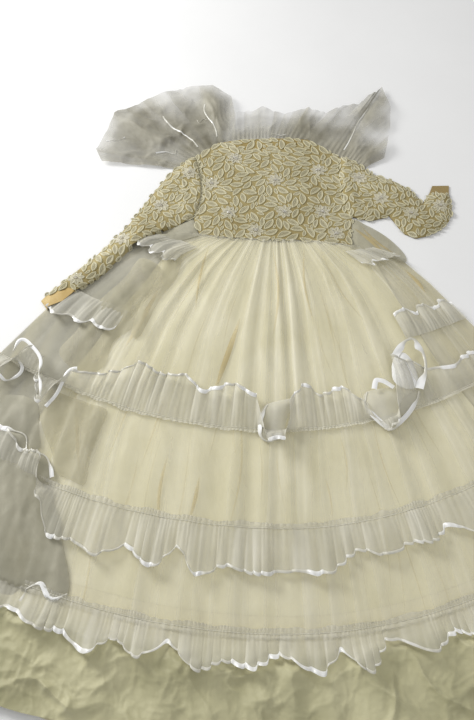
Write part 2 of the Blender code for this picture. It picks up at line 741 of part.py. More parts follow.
def triangulate(points, loops, lines=()):
    """Triangles of a region: its outer loop first, then the loops and lines that must stay as edges."""
    edges = []
    for loop in loops:
        edges += list(zip(loop, loop[1:] + loop[:1]))
    for line in lines:
        edges += list(zip(line, line[1:]))
    verts, _, faces, _, _, _ = delaunay_2d_cdt([Vector(p) for p in points], edges, [], 1, 1e-7)
    return verts, faces


def smooth_line(points, step, corners=()):
    """Points along a smooth curve through the given ones, which stays sharp at its corners."""
    line = [points[0]]
    for i in range(len(points) - 1):
        a, b = np.array(points[i]), np.array(points[i + 1])
        before = a if i == 0 or points[i] in corners else np.array(points[i - 1])
        after = b if i + 2 == len(points) or points[i + 1] in corners else np.array(points[i + 2])
        pieces = max(1, round(float(np.linalg.norm(b - a)) / step))
        for k in range(1, pieces + 1):
            t = k / pieces
            slope_a, slope_b = (b - before) / 2.0, (after - a) / 2.0
            place = (2 * t**3 - 3 * t**2 + 1) * a + (t**3 - 2 * t**2 + t) * slope_a
            place = place + (3 * t**2 - 2 * t**3) * b + (t**3 - t**2) * slope_b
            line.append(tuple(float(v) for v in place))
    return line


def inner_points(outline, pitch):
    """Grid points well inside an outline."""
    low, high = np.min(outline, axis=0), np.max(outline, axis=0)
    grid = [
        (i * pitch, j * pitch)
        for i in range(math.floor(low[0] / pitch), math.ceil(high[0] / pitch))
        for j in range(math.floor(low[1] / pitch), math.ceil(high[1] / pitch))
    ]
    return [p for p in grid if inside(p, outline) and edge_distance(p, outline) > pitch * EDGE_SHARE]


def close_wall(name, outline, top, low, top_height, low_height):
    """Wall over an outline: its top and underside, each triangulated, and the sides between."""
    top_verts, top_faces = top
    low_verts, low_faces = low
    bm = bmesh.new()
    upper = [bm.verts.new((v.x, v.y, top_height(i, v.x, v.y))) for i, v in enumerate(top_verts)]
    lower = [bm.verts.new((v.x, v.y, low_height(v.x, v.y))) for v in low_verts]
    for face in top_faces:
        bm.faces.new([upper[i] for i in face])
    for face in low_faces:
        bm.faces.new([lower[i] for i in reversed(face)])
    count = len(outline)
    for i in range(count):
        j = (i + 1) % count
        bm.faces.new((upper[i], lower[i], lower[j]))
        bm.faces.new((upper[i], lower[j], upper[j]))
    bmesh.ops.recalc_face_normals(bm, faces=bm.faces)
    mesh = bpy.data.meshes.new(name)
    bm.to_mesh(mesh)
    bm.free()
    return mesh


def plain_panel(gown, name, outline, pitch, low_height, wall, material, parts=(), seam=()):
    """Plain wall. Its triangles have the inner points of its parts, and meet along the seam between them."""
    points = list(outline)
    for part in parts or (outline,):
        points += inner_points(part, pitch)
    points += [p for p in seam if p not in outline]
    line = [points.index(p) for p in seam]
    both = triangulate(points, [list(range(len(outline)))], [line])
    mesh = close_wall(name, outline, both, both, lambda i, x, y: low_height(x, y) + wall, low_height)
    return gown.settle(gown.add(name, mesh, material))


def lace_panel(gown, name, outline, pitch, low_height, start):
    """Lace wall: flowers and leaves stand out of its upper points, and its underside is plain."""
    flowers, leaves = lace_motifs(outline, start)
    points, heights = list(outline), [0.0] * len(outline)
    loops = [list(range(len(outline)))]
    shapes = [(leaf_shape(*leaf), leaf_ridge(*leaf), LEAF_HEIGHT) for leaf in leaves]
    shapes += [(flower_shape(flower), [flower], FLOWER_HEIGHT) for flower in flowers]
    for rim, crest, height in shapes:
        loops.append(list(range(len(points), len(points) + len(rim))))
        points += rim + crest
        heights += [0.0] * len(rim) + [height] * len(crest)
    top = triangulate(points, loops)
    low = triangulate(outline + inner_points(outline, pitch), [list(range(len(outline)))])

    def top_height(i, x, y):
        return low_height(x, y) + LACE_WALL + heights[i]

    mesh = close_wall(name, outline, top, low, top_height, low_height)
    return gown.settle(gown.add(name, mesh, "lace"))


# Bodice and sleeves

def bodice_dome(x, y):
    """Underside of the bodice front, which rises over the back panels."""
    across = (x - BODICE_CENTRE[0]) / BODICE_HALF_SIZE[0]
    along = (y - BODICE_CENTRE[1]) / BODICE_HALF_SIZE[1]
    rise = BODICE_DOME * max(0.0, 1.0 - across * across) * max(0.0, 1.0 - along * along)
    return BODICE_FRONT_LOW + rise


def waist_line():
    """Lower edge of the bodice, from left to right, just clear of the skirt's gathered top."""
    steps = [2.0 * k / WAIST_STEPS - 1.0 for k in range(WAIST_STEPS + 1)]
    return [(x, y + 2.0 * SEAM_GAP) for x, y in (skirt_point(0.0, a) for a in steps)]


def build_bodice(gown):
    """Two back panels that meet at the centre back, and the front over them."""
    waist = waist_line()
    left_side = smooth_line(ARMHOLE_LEFT, BODICE_STEP)
    right_side = smooth_line(ARMHOLE_RIGHT, BODICE_STEP)
    back_neck = smooth_line(BACK_NECKLINE, BODICE_STEP)
    front_neck = smooth_line(FRONT_NECKLINE, BODICE_STEP)
    middle = len(back_neck) // 2
    centre = [(back_neck[middle][0], 3.0 * SEAM_GAP), back_neck[middle]]
    left_waist = [p for p in waist if p[0] < centre[0][0] - BODICE_STEP / 2.0]
    right_waist = [p for p in waist if p[0] > centre[0][0] + BODICE_STEP / 2.0]
    left_centre = shifted(centre, -SEAM_GAP / 2.0)
    right_centre = shifted(centre, SEAM_GAP / 2.0)
    left = [*left_waist, *left_centre, *reversed(back_neck[:middle]), *reversed(left_side)]
    right = [right_centre[0], *right_waist, *right_side, *reversed(back_neck[middle + 1:]), right_centre[1]]
    plain_panel(gown, "bodice_back_left", left, BODICE_GRID, flat, LACE_WALL, "lace")
    plain_panel(gown, "bodice_back_right", right, BODICE_GRID, flat, LACE_WALL, "lace")
    front = [*waist, *right_side, *reversed(front_neck), *reversed(left_side)]
    lace_panel(gown, "bodice_front", front, BODICE_GRID, bodice_dome, BODICE_FLOWER)


def flat(x, y):
    return 0.0


def shifted(points, dx, dy=0.0):
    return [(x + dx, y + dy) for x, y in points]


def build_sleeve(gown, name, armhole, edges, corners, lace_end, plain_end, start, away):
    """Two-piece sleeve, its lace half on its under half, and the plain cloth that shows at its wrist."""
    outer, inner = edges
    seam = shifted(smooth_line(armhole, SLEEVE_STEP), away)
    outer = smooth_line([seam[-1], *outer], SLEEVE_STEP, corners)[1:]
    inner = smooth_line([*inner, seam[0]], SLEEVE_STEP, corners)[:-1]
    whole = [*seam, *outer, *plain_end, *inner]
    lace = [*seam, *outer, *lace_end, *inner]
    wrist = pulled_in([outer[-1], *plain_end, inner[0], *reversed(lace_end)], SEAM_GAP)
    below = gown.tree

    def lay_under(x, y):
        found = gown.rest_height(x, y, SLEEVE_STEP, below)
        return found + SEAM_GAP if found > 0.0 else 0.0

    def lay_wrist(x, y):
        return lay_under(x, y) + LACE_WALL + 2.0 * SEAM_GAP

    def lay_lace(x, y):
        rise = 1.0 - min(1.0, edge_distance((x, y), lace) / SLEEVE_ROUNDING)
        return lay_wrist(x, y) + SLEEVE_DOME * (1.0 - rise * rise)

    meeting = [outer[-1], *lace_end, inner[0]]
    parts = (lace, wrist)
    plain_panel(gown, f"{name}_under", whole, SLEEVE_GRID, lay_under, LACE_WALL, "lace", parts, meeting)
    lace_panel(gown, f"{name}_top", lace, SLEEVE_GRID, lay_lace, start)
    plain_panel(gown, f"{name}_wrist", wrist, SLEEVE_GRID, lay_wrist, FACING_WALL, "facing")


def pulled_in(outline, distance):
    """Outline drawn in towards its middle."""
    middle = np.mean(outline, axis=0)
    moved = []
    for p in outline:
        inward = middle - np.array(p)
        moved.append(tuple(np.array(p) + inward * distance / np.linalg.norm(inward)))
    return moved


# Cape

def cape_seam():
    """The line that the cape is sewn to: from one sleeve over the shoulders and back neck to the other."""
    left = smooth_line([ARMHOLE_LEFT[-1], *SLEEVE_LEFT_OUTER], SLEEVE_STEP)
    right = smooth_line([ARMHOLE_RIGHT[-1], *SLEEVE_RIGHT_OUTER], SLEEVE_STEP, ELBOW_CORNERS)
    line = [*reversed(left[:CAPE_SLEEVE_POINTS]), *smooth_line(BACK_NECKLINE, BODICE_STEP)]
    line += right[:CAPE_SLEEVE_POINTS]
    finer = []
    for a, b in zip(line, line[1:]):
        pieces = max(1, round(math.dist(a, b) / CAPE_STEP))
        finer += [tuple(np.array(a) + (np.array(b) - np.array(a)) * k / pieces) for k in range(pieces)]
    return moved_out([*finer, line[-1]], 2.5 * SEAM_GAP)


def moved_out(line, distance):
    """A line moved to its left."""
    moved = []
    for i, p in enumerate(line):
        before = np.array(line[max(i - 1, 0)])
        after = np.array(line[min(i + 1, len(line) - 1)])
        along = (after - before) / np.linalg.norm(after - before)
        moved.append((p[0] - along[1] * distance, p[1] + along[0] * distance))
    return moved


def cape_point(seam, place, share):
    """Place on the cape: share runs from its seam to its free edge."""
    run = run_along(seam)
    stations = {name: column(CAPE_STATIONS, STATION_COLUMNS, name) for name in STATION_COLUMNS}
    flat_place = []
    for axis, name in enumerate(("x", "y")):
        at_seam = float(np.interp(place * run[-1], run, [p[axis] for p in seam]))
        at_edge = float(np.interp(place, stations["place"], stations[name]))
        flat_place.append(at_seam + (at_edge - at_seam) * share)
    lift = smooth_between(place, stations["place"], stations["lift"])
    return *flat_place, SHEER_WALL / 2.0 + lift * share * (1.6 - 0.6 * share)


def build_cape(gown):
    seam = cape_seam()
    places = run_along(seam) / run_along(seam)[-1]
    rows = [[cape_point(seam, place, share) for place in reversed(places)] for share in CAPE_SHARES]
    cloth(gown, "cape", rows, SHEER_WALL, "sheer")
    for number, place in enumerate(CAPE_RIBBON_PLACES, 1):
        rows = []
        for share, clear in CAPE_RIBBON_ROWS:
            here = np.array(cape_point(seam, place, share)[:2])
            side = np.array(cape_point(seam, place + 0.01, share)[:2]) - here
            side = side / np.linalg.norm(side)
            row = []
            for step in (1.0, -1.0):
                x, y = here + side * step * CAPE_RIBBON_HALF
                top = gown.rest_height(x, y, CAPE_RIBBON_HALF)
                row.append((x, y, top + clear + RIBBON_WALL / 2.0))
            rows.append(row)
        cloth(gown, f"cape_ribbon_{number}", rows, RIBBON_WALL, "ribbon")


def centre_on_surface(gown):
    """Puts the origin under the middle of the bounding box."""
    corners = np.array([tuple(p) for p in gown.points])
    middle = (corners.min(axis=0) + corners.max(axis=0)) / 2.0
    for obj in gown.collection.objects:
        obj.location.x -= middle[0]
        obj.location.y -= middle[1]


def main():
    clear_scene()
    gown = Gown()
    build_skirt_layers(gown)
    build_flounce(gown)
    build_front_sheer(gown)
    build_ruffles(gown)
    build_bodice(gown)
    build_sleeve(
        gown, "sleeve_left", ARMHOLE_LEFT, (SLEEVE_LEFT_OUTER, SLEEVE_LEFT_INNER), (),
        LACE_END_LEFT, FACING_END_LEFT, LEFT_SLEEVE_FLOWER, -SEAM_GAP,
    )
    build_sleeve(
        gown, "sleeve_right", ARMHOLE_RIGHT, (SLEEVE_RIGHT_OUTER, SLEEVE_RIGHT_INNER), ELBOW_CORNERS,
        (), BAND_END_RIGHT, RIGHT_SLEEVE_FLOWER, SEAM_GAP,
    )
    build_cape(gown)
    centre_on_surface(gown)


main()
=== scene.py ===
"""Looks of a floor-length gown laid flat, face up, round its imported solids.

Pieces are worked out in the part's design frame, in metres, with the middle of the waist seam at zero.
X runs to the right as seen from above, Y from the hem to the neck, and Z up. PLACE then moves each piece
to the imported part.
"""

import math

import bpy
import numpy as np
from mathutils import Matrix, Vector
from mathutils.bvhtree import BVHTree
from mathutils.geometry import delaunay_2d_cdt


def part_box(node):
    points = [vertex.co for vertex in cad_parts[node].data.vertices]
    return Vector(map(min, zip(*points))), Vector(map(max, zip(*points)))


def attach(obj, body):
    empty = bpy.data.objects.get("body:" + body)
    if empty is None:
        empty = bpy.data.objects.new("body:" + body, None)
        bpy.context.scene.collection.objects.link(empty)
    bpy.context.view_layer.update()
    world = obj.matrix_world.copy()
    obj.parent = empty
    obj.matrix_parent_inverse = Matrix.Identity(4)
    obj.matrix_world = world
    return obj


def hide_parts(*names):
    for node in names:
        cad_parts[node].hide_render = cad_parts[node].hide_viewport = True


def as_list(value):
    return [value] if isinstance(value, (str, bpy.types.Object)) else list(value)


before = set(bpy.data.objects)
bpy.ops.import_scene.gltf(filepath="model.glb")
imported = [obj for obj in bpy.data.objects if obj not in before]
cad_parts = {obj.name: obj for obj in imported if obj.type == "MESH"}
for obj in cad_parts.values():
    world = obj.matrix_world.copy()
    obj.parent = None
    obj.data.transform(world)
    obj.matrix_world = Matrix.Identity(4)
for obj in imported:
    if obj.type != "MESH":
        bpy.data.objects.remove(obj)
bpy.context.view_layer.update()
TAU = math.tau
TINY = 1e-12

# Walls and clearances, as in the solids
SEAM_GAP = 0.0003
SHEER_WALL = 0.0010
LINING_WALL = 0.0010
LACE_WALL = 0.0015
REST_MARGIN = 0.0012
BACK_LINING_LOW = SHEER_WALL + SEAM_GAP
FRONT_LINING_LOW = BACK_LINING_LOW + LINING_WALL + SEAM_GAP
FRONT_SHEER_LOW = FRONT_LINING_LOW + LINING_WALL + SEAM_GAP
BODICE_FRONT_LOW = LACE_WALL + SEAM_GAP

# Skirt, as drops below the waist along its middle
TIER_1_DROP = 0.530
TIER_2_DROP = 0.755
TIER_3_DROP = 0.965
SHEER_HEM_DROP = 0.975
BACK_HEM_DROP = 1.120
FLOUNCE_TOP_DROP = 0.930
HEM_DROP = 1.190
RIBBON_WIDTH = 0.010
BACK_LEFT_X = -0.872

SECTION_COLUMNS = ("drop", "left_x", "left_y", "right_x", "right_y", "lining")
SKIRT_SECTIONS = (
    (0.000, 0.196, 0.018, 0.193, -0.018, 0.97),
    (0.050, 0.262, 0.024, 0.248, -0.024, 0.90),
    (0.120, 0.345, 0.008, 0.322, -0.058, 0.80),
    (0.200, 0.430, -0.058, 0.385, -0.130, 0.75),
    (0.300, 0.524, -0.150, 0.440, -0.205, 0.74),
    (0.400, 0.592, -0.235, 0.490, -0.272, 0.74),
    (0.530, 0.665, -0.330, 0.550, -0.356, 0.76),
    (0.640, 0.720, -0.430, 0.610, -0.430, 0.77),
    (0.755, 0.765, -0.535, 0.665, -0.510, 0.78),
    (0.850, 0.800, -0.620, 0.710, -0.590, 0.79),
    (0.930, 0.826, -0.692, 0.743, -0.660, 0.80),
    (0.975, 0.838, -0.735, 0.760, -0.700, 0.81),
    (1.040, 0.855, -0.795, 0.785, -0.755, 0.82),
    (1.120, 0.872, -0.865, 0.812, -0.828, 0.84),
    (1.190, 0.884, -0.925, 0.832, -0.890, 0.86),
)
EDGE_CLEAR, EDGE_FALL = 0.02, 0.10
SKIRT_FOLDS = 17
FOLD_HEIGHT = ((0.00, 0.0022), (0.12, 0.0038), (0.34, 0.0060), (0.53, 0.0030), (0.66, 0.0065), (0.98, 0.0030))

# Lobes of the ruffles, a row each: place across the seam, reach of the free edge towards the waist, lift
LOBE_COLUMNS = ("x", "reach", "lift")
TIER_1_LOBES = (
    (-0.665, -0.070, 0.010),
    (-0.630, -0.050, 0.024),
    (-0.600, 0.050, 0.026),
    (-0.570, 0.038, 0.012),
    (-0.545, -0.030, 0.024),
    (-0.522, -0.070, 0.014),
    (-0.490, 0.035, 0.022),
    (-0.440, 0.055, 0.010),
    (-0.400, 0.080, 0.004),
    (-0.355, 0.116, 0.012),
    (-0.300, 0.104, 0.004),
    (-0.240, 0.110, 0.013),
    (-0.190, 0.082, 0.004),
    (-0.120, 0.104, 0.012),
    (-0.060, 0.082, 0.012),
    (-0.030, -0.040, 0.024),
    (0.005, -0.034, 0.020),
    (0.030, 0.078, 0.020),
    (0.065, 0.106, 0.008),
    (0.100, 0.080, 0.003),
    (0.150, 0.092, 0.011),
    (0.190, 0.050, 0.018),
    (0.225, -0.045, 0.020),
    (0.254, -0.034, 0.026),
    (0.292, 0.134, 0.032),
    (0.328, 0.118, 0.022),
    (0.370, 0.086, 0.005),
    (0.425, 0.070, 0.012),
    (0.480, 0.084, 0.004),
    (0.550, 0.070, 0.010),
)
TIER_2_LOBES = (
    (-0.765, 0.060, 0.010),
    (-0.700, 0.086, 0.004),
    (-0.630, 0.074, 0.014),
    (-0.585, 0.050, 0.004),
    (-0.545, 0.056, 0.020),
    (-0.512, -0.040, 0.024),
    (-0.465, -0.108, 0.006),
    (-0.425, -0.098, 0.003),
    (-0.375, -0.114, 0.012),
    (-0.318, -0.080, 0.003),
    (-0.262, -0.112, 0.014),
    (-0.214, -0.062, 0.003),
    (-0.172, -0.114, 0.014),
    (-0.120, -0.088, 0.003),
    (-0.045, -0.102, 0.012),
    (0.000, -0.092, 0.003),
    (0.075, -0.102, 0.013),
    (0.150, -0.062, 0.003),
    (0.200, -0.084, 0.013),
    (0.248, -0.070, 0.003),
    (0.290, -0.082, 0.012),
    (0.330, -0.062, 0.003),
    (0.390, -0.102, 0.014),
    (0.445, -0.078, 0.003),
    (0.505, -0.102, 0.012),
    (0.560, -0.080, 0.003),
    (0.615, -0.100, 0.012),
    (0.665, -0.086, 0.004),
)
TIER_3_LOBES = (
    (-0.834, -0.070, 0.010),
    (-0.775, -0.054, 0.003),
    (-0.715, -0.080, 0.012),
    (-0.655, -0.056, 0.003),
    (-0.600, -0.072, 0.012),
    (-0.540, -0.056, 0.003),
    (-0.480, -0.072, 0.010),
    (-0.435, -0.066, 0.003),
    (-0.385, -0.090, 0.013),
    (-0.330, -0.050, 0.003),
    (-0.286, -0.074, 0.013),
    (-0.230, -0.038, 0.003),
    (-0.170, -0.080, 0.013),
    (-0.120, -0.058, 0.003),
    (-0.070, -0.068, 0.012),
    (-0.016, -0.042, 0.003),
    (0.060, -0.078, 0.013),
    (0.102, -0.040, 0.003),
    (0.150, -0.084, 0.013),
    (0.196, -0.030, 0.003),
    (0.275, -0.072, 0.014),
    (0.322, -0.050, 0.003),
    (0.370, -0.076, 0.012),
    (0.430, -0.052, 0.003),
    (0.490, -0.078, 0.012),
    (0.550, -0.054, 0.003),
    (0.610, -0.078, 0.012),
    (0.670, -0.054, 0.003),
    (0.757, -0.072, 0.010),
)
BAND_WEIGHTS = 256
BAND_EDGE = 0.12
FOLD_LEVELS = ((0.0, 9.0, 61), (TIER_1_DROP, 11.0, 71), (TIER_2_DROP, 12.0, 81))
FOLD_LIFT = 0.0046
PROFILE_STEPS = 20
SEAM_SETTLE = 0.25
CREST_SHARE = 0.74

# Tiers from the lowest up, a row each: name, seam's drop, lobes, waves, seed, heading, flat size
TIERS = (
    ("tier_3", TIER_3_DROP, TIER_3_LOBES, 64, 201, 0.012, (1.60, 0.082)),
    ("tier_2", TIER_2_DROP, TIER_2_LOBES, 58, 301, 0.013, (1.55, 0.103)),
    ("tier_1", TIER_1_DROP, TIER_1_LOBES, 50, 401, -0.010, (1.42, 0.082)),
)

# Tan folds of the skirt: both ends, width and cover
FOLD_LINES = (
    (-0.091, -0.238, -0.150, -0.435, 0.013, 0.58),
    (0.206, 0.040, 0.283, -0.051, 0.010, 0.70),
    (0.226, 0.046, 0.309, -0.046, 0.007, 0.60),
    (0.324, -0.096, 0.369, -0.165, 0.009, 0.65),
    (-0.470, -0.430, -0.440, -0.640, 0.008, 0.30),
    (-0.170, -0.020, -0.200, -0.220, 0.006, 0.40),
    (-0.010, -0.020, -0.015, -0.300, 0.006, 0.35),
    (0.075, -0.020, 0.090, -0.260, 0.005, 0.35),
    (-0.290, -0.140, -0.370, -0.330, 0.012, 0.40),
    (-0.180, -0.640, -0.200, -0.740, 0.008, 0.40),
    (-0.250, -0.590, -0.262, -0.760, 0.007, 0.35),
)
LOOSE_FOLDS = 34
FOLD_LINE_SEED = 23

# Rows and columns of the cloth grids
BACK_GRID = (90, 220)
BACK_LINING_GRID = (80, 140)
FRONT_LINING_GRID = (150, 260)
FRONT_SHEER_GRID = (180, 430)
FLOUNCE_GRID = (104, 500)
FOLD_LINE_GRID = (16, 4)
CAPE_GRID = (60, 460)
TIER_COLUMNS, SIDE_COLUMNS = 760, 150
RUFFLE_ROWS, RIBBON_ROWS, HEADING_ROWS = 18, 7, 6
WHOLE_WIDTH = 0.998

# Gathers under the waist, a row each: count across, share of the sway, shift, height, drop of the fade
GATHERS = (
    (54.0, 1.0, 0.0, 0.0012, 0.10),
    (23.0, 1.7, 1.0, 0.0015, 0.42),
)
LONG_CREASE, SLANTING_CREASE, SHORT_CREASE = 0.0032, 0.0034, 0.0010
FOLD_SWAY, NARROW_FOLDS = 0.07, 2.6
BROAD_SHARE, NARROW_SHARE = 0.68, 0.32
UNDER_RIPPLE = 0.0003
LINING_FOLD_SHARE, LINING_CREASE_SHARE = 0.75, 0.5
SHEER_COVER, DOUBLED_COVER = 0.20, 0.42
BACK_COVER, STREAK_COVER, STREAKS = 0.80, 0.12, 14.0

SIDE_COLUMN_NAMES = ("name", "drop", "start", "end", "inner_reach", "outer_reach")
SIDE_RUFFLES = (
    ("side_left_upper", 0.070, -0.995, -0.700, -0.082, -0.075),
    ("side_left_lower", 0.292, -0.995, -0.700, -0.074, -0.088),
    ("side_right_upper", 0.052, 0.700, 0.995, -0.074, -0.070),
    ("side_right_lower", 0.345, 0.660, 0.995, 0.088, 0.072),
)
SIDE_LOBES, SIDE_WAVES = 3, 5
SIDE_COVER, RUFFLE_COVER = 0.42, 0.32
SIDE_SCALLOP = 0.18
SIDE_LIFT, SIDE_LEAST_LIFT = 0.009, 0.25

# Loose lobes of cloth, as outlines
WAIST_LEFT = (
    (-0.196, 0.010), (-0.2145, 0.0765), (-0.234, 0.064), (-0.256, 0.051), (-0.308, 0.021),
    (-0.318, 0.008), (-0.262, -0.010),
)
WAIST_RIGHT = (
    (0.192, -0.030), (0.2045, 0.066), (0.240, 0.052), (0.284, 0.019), (0.317, -0.019), (0.335, -0.054),
    (0.322, -0.074), (0.270, -0.046),
)
OVERLAY = (
    (-0.686, -0.534), (-0.632, -0.534), (-0.600, -0.537), (-0.569, -0.551), (-0.567, -0.590),
    (-0.542, -0.587), (-0.516, -0.601), (-0.504, -0.645), (-0.487, -0.701), (-0.469, -0.744),
    (-0.458, -0.800), (-0.444, -0.842), (-0.441, -0.886), (-0.470, -0.894), (-0.493, -0.864),
    (-0.520, -0.874), (-0.556, -0.905), (-0.625, -0.903), (-0.690, -0.880),
)
OVERLAY_RIBBONS = (OVERLAY[:5], OVERLAY[5:8], OVERLAY[12:18])
CURL_RIBBONS = (
    ((-0.655, -0.396), (-0.636, -0.410), (-0.606, -0.398), (-0.597, -0.374), (-0.616, -0.346)),
    (
        (-0.618, -0.345), (-0.603, -0.318), (-0.580, -0.335), (-0.557, -0.367), (-0.553, -0.411),
        (-0.543, -0.462),
    ),
    ((-0.529, -0.480), (-0.507, -0.447), (-0.488, -0.392), (-0.470, -0.384)),
)
CURL_RIBBON_WIDTH, CURL_RIBBON_LIFT = 0.008, 0.002
LEFT_VEIL = (
    (-0.300, -0.080), (-0.272, -0.130), (-0.326, -0.190), (-0.345, -0.262), (-0.392, -0.300),
    (-0.414, -0.372), (-0.470, -0.385), (-0.520, -0.330), (-0.482, -0.270), (-0.440, -0.190),
    (-0.380, -0.120), (-0.345, -0.060),
)
LEFT_FOLD = (
    (-0.236, -0.030), (-0.246, -0.110), (-0.290, -0.190), (-0.330, -0.290), (-0.352, -0.280),
    (-0.338, -0.200), (-0.300, -0.120), (-0.280, -0.040),
)
LEFT_DRAPE = (
    (-0.549, -0.422), (-0.493, -0.445), (-0.436, -0.465), (-0.393, -0.485), (-0.405, -0.532),
    (-0.420, -0.594), (-0.427, -0.658), (-0.463, -0.647), (-0.491, -0.631), (-0.510, -0.580),
    (-0.533, -0.532), (-0.549, -0.478),
)
LEFT_EDGE = (
    (-0.663, -0.453), (-0.623, -0.442), (-0.580, -0.450), (-0.552, -0.473), (-0.543, -0.527),
    (-0.533, -0.575), (-0.555, -0.575), (-0.571, -0.551), (-0.600, -0.539), (-0.650, -0.537),
)
LOBE_MIDDLE = (
    (0.038, -0.452), (-0.030, -0.470), (-0.049, -0.505), (-0.050, -0.545), (-0.028, -0.563),
    (0.002, -0.545), (0.018, -0.495),
)
LOBE_RIGHT = (
    (0.268, -0.428), (0.197, -0.442), (0.190, -0.478), (0.208, -0.510), (0.241, -0.537), (0.271, -0.520),
    (0.304, -0.482), (0.320, -0.440),
)
SATIN_OVAL = (
    (0.260, -0.379), (0.270, -0.353), (0.291, -0.342), (0.308, -0.361), (0.316, -0.391), (0.317, -0.424),
    (0.301, -0.437), (0.277, -0.433), (0.260, -0.413),
)
LOOP_BAND = (
    (0.262, -0.350), (0.281, -0.324), (0.314, -0.306), (0.334, -0.331), (0.341, -0.370), (0.337, -0.404),
    (0.325, -0.442),
)
LOOP_SEAT, LOOP_DOME, LOOP_ROUNDING, LOOP_CREASE = 0.026, 0.006, 0.025, 0.0016
LOOP_BAND_WIDTH, LOOP_FLAP_WIDTH = 0.018, 0.012
FLOP_PITCH, FLOP_EDGE_STEP, FLOP_SEAT_RANK = 0.006, 0.008, 60
FLOP_CLEAR, FLOP_WRINKLE = 0.0016, 0.0034
WHITE_FLAP = ((0.207, -0.440), (0.216, -0.414), (0.239, -0.416), (0.262, -0.432))

FLOUNCE_FOLDS = 14
FLOUNCE_LIFT, FLOUNCE_RIDGE_SHARE = 0.0078, 0.30
SLACK_TOP, SLACK_RUN = 0.985, 0.06
LARGE_CRUMPLE, CRUMPLE, FINE_CRUMPLE = 0.020, 0.0100, 0.0022

# Ruffle pleats and ribbon, as heights
PLEAT_HEIGHT, FLUTE_HEIGHT, DOUBLED_HEIGHT = 0.0012, 0.0042, 0.0036
RIBBON_LIFT, RIBBON_BULGE, RIBBON_PUCKER, RIBBON_CURL = 0.0008, 0.0010, 0.0008, 0.0018
STITCH_RADIUS, STITCH_SIDES, STITCH_LIFT, STITCH_WAVE = 0.0007, 5, 0.0012, 0.0006
HEADING_COVER = 0.46

# Turns of the finer waves for each flute
PLEAT_TURNS, PUCKER_TURNS, CURL_TURNS, FRILL_TURNS = 2.7, 3.1, 2.1, 2.9

# Bodice and sleeve outlines
ARMHOLE_LEFT = ((-0.214, 0.077), (-0.200, 0.118), (-0.196, 0.170), (-0.202, 0.230), (-0.214, 0.284))
ARMHOLE_RIGHT = ((0.205, 0.077), (0.188, 0.120), (0.180, 0.170), (0.180, 0.230), (0.184, 0.286))
NECK_LEFT, NECK_RIGHT = (-0.150, 0.340), (0.098, 0.354)
FRONT_NECKLINE = (
    NECK_LEFT, (-0.118, 0.322), (-0.075, 0.307), (-0.028, 0.302), (0.022, 0.308), (0.064, 0.328), NECK_RIGHT,
)
BACK_NECKLINE = (NECK_LEFT, (-0.104, 0.352), (-0.028, 0.358), (0.050, 0.359), NECK_RIGHT)
BODICE_DOME = 0.009
BODICE_CENTRE = (-0.008, 0.170)
BODICE_HALF_SIZE = (0.205, 0.185)
SLEEVE_LEFT_OUTER = (
    (-0.248, 0.262), (-0.284, 0.222), (-0.332, 0.142), (-0.380, 0.056), (-0.424, -0.004), (-0.474, -0.066),
    (-0.521, -0.116), (-0.574, -0.172),
)
SLEEVE_LEFT_INNER = (
    (-0.497, -0.159), (-0.452, -0.124), (-0.412, -0.078), (-0.368, -0.024), (-0.306, 0.020), (-0.253, 0.050),
)
LACE_END_LEFT = ((-0.562, -0.172), (-0.523, -0.150))
FACING_END_LEFT = ((-0.583, -0.184), (-0.564, -0.212), (-0.526, -0.194))
SLEEVE_RIGHT_OUTER = (
    (0.232, 0.266), (0.272, 0.226), (0.328, 0.199), (0.372, 0.166), (0.397, 0.122), (0.420, 0.160),
)
SLEEVE_RIGHT_INNER = (
    (0.4715, 0.160), (0.472, 0.106), (0.458, 0.062), (0.416, 0.026), (0.366, 0.008), (0.338, 0.022),
    (0.303, 0.082), (0.257, 0.066),
)
ELBOW_CORNERS = ((0.397, 0.122), (0.303, 0.082))
BAND_END_RIGHT = ((0.430, 0.184), (0.475, 0.185))
SLEEVE_DOME, SLEEVE_ROUNDING = 0.007, 0.030
SLEEVE_STEP, BODICE_STEP = 0.024, 0.030
SEAM_LEAF_LOW = 0.0056

# Lace: middles of the flowers, and sizes as length and width, or length, width and cord
FRONT_FLOWERS = (
    (-0.104, 0.279), (0.124, 0.236), (0.005, 0.197), (-0.120, 0.088), (0.127, 0.093), (0.026, 0.090),
    (-0.168, 0.190), (-0.050, 0.030), (0.160, 0.022),
)
LEFT_SLEEVE_FLOWERS = ((-0.228, 0.222), (-0.300, 0.110), (-0.395, 0.000), (-0.500, -0.125))
RIGHT_SLEEVE_FLOWERS = ((0.232, 0.205), (0.285, 0.135), (0.360, 0.085), (0.440, 0.110))
FLOWER_SIZE = 0.037
LEAF_POINTS = 22
LEAF_SIZES = ((0.0375, 0.0172), (0.0320, 0.0148), (0.0235, 0.0112), (0.0165, 0.0080))
SHOULDER_LEAF_SIZES = ((0.0290, 0.0135), (0.0220, 0.0105), (0.0155, 0.0076))
PETALS, PETAL_RING, PETAL_SIZE = 8, 0.0132, (0.0180, 0.0112, 0.0014)
RING_LEAVES, RING_START, RING_BEND = 7, 0.0225, 0.004
RING_SWIRLS = (0.5, 0.2, 0.9, -0.3)
FLOWER_GAP, RING_GAP, LEAF_GAP = 0.001, 0.0020, 0.0019
CORD, FINE_CORD, LARGE_LEAF = 0.0019, 0.0013, 0.026
SEAM_LEAF_SIZE, SEAM_LEAF_STEP = (0.027, 0.0125, 0.0017), 0.0135
LEAF_TURNS, LEAF_BEND = (0.0, 0.8, 1.6, 2.4), 0.12
LEAF_SCALES = (0.9, 1.0, 1.08)
LACE_STEP, LACE_RIM = 0.0035, 0.004
LACE_CLOTHS = ("leaf", "cord", "petal")
LEAF_KINDS, PETAL_KINDS = (1, 0), (2, 2)
RASTER = 0.001
ROOM_MARGIN = 0.045
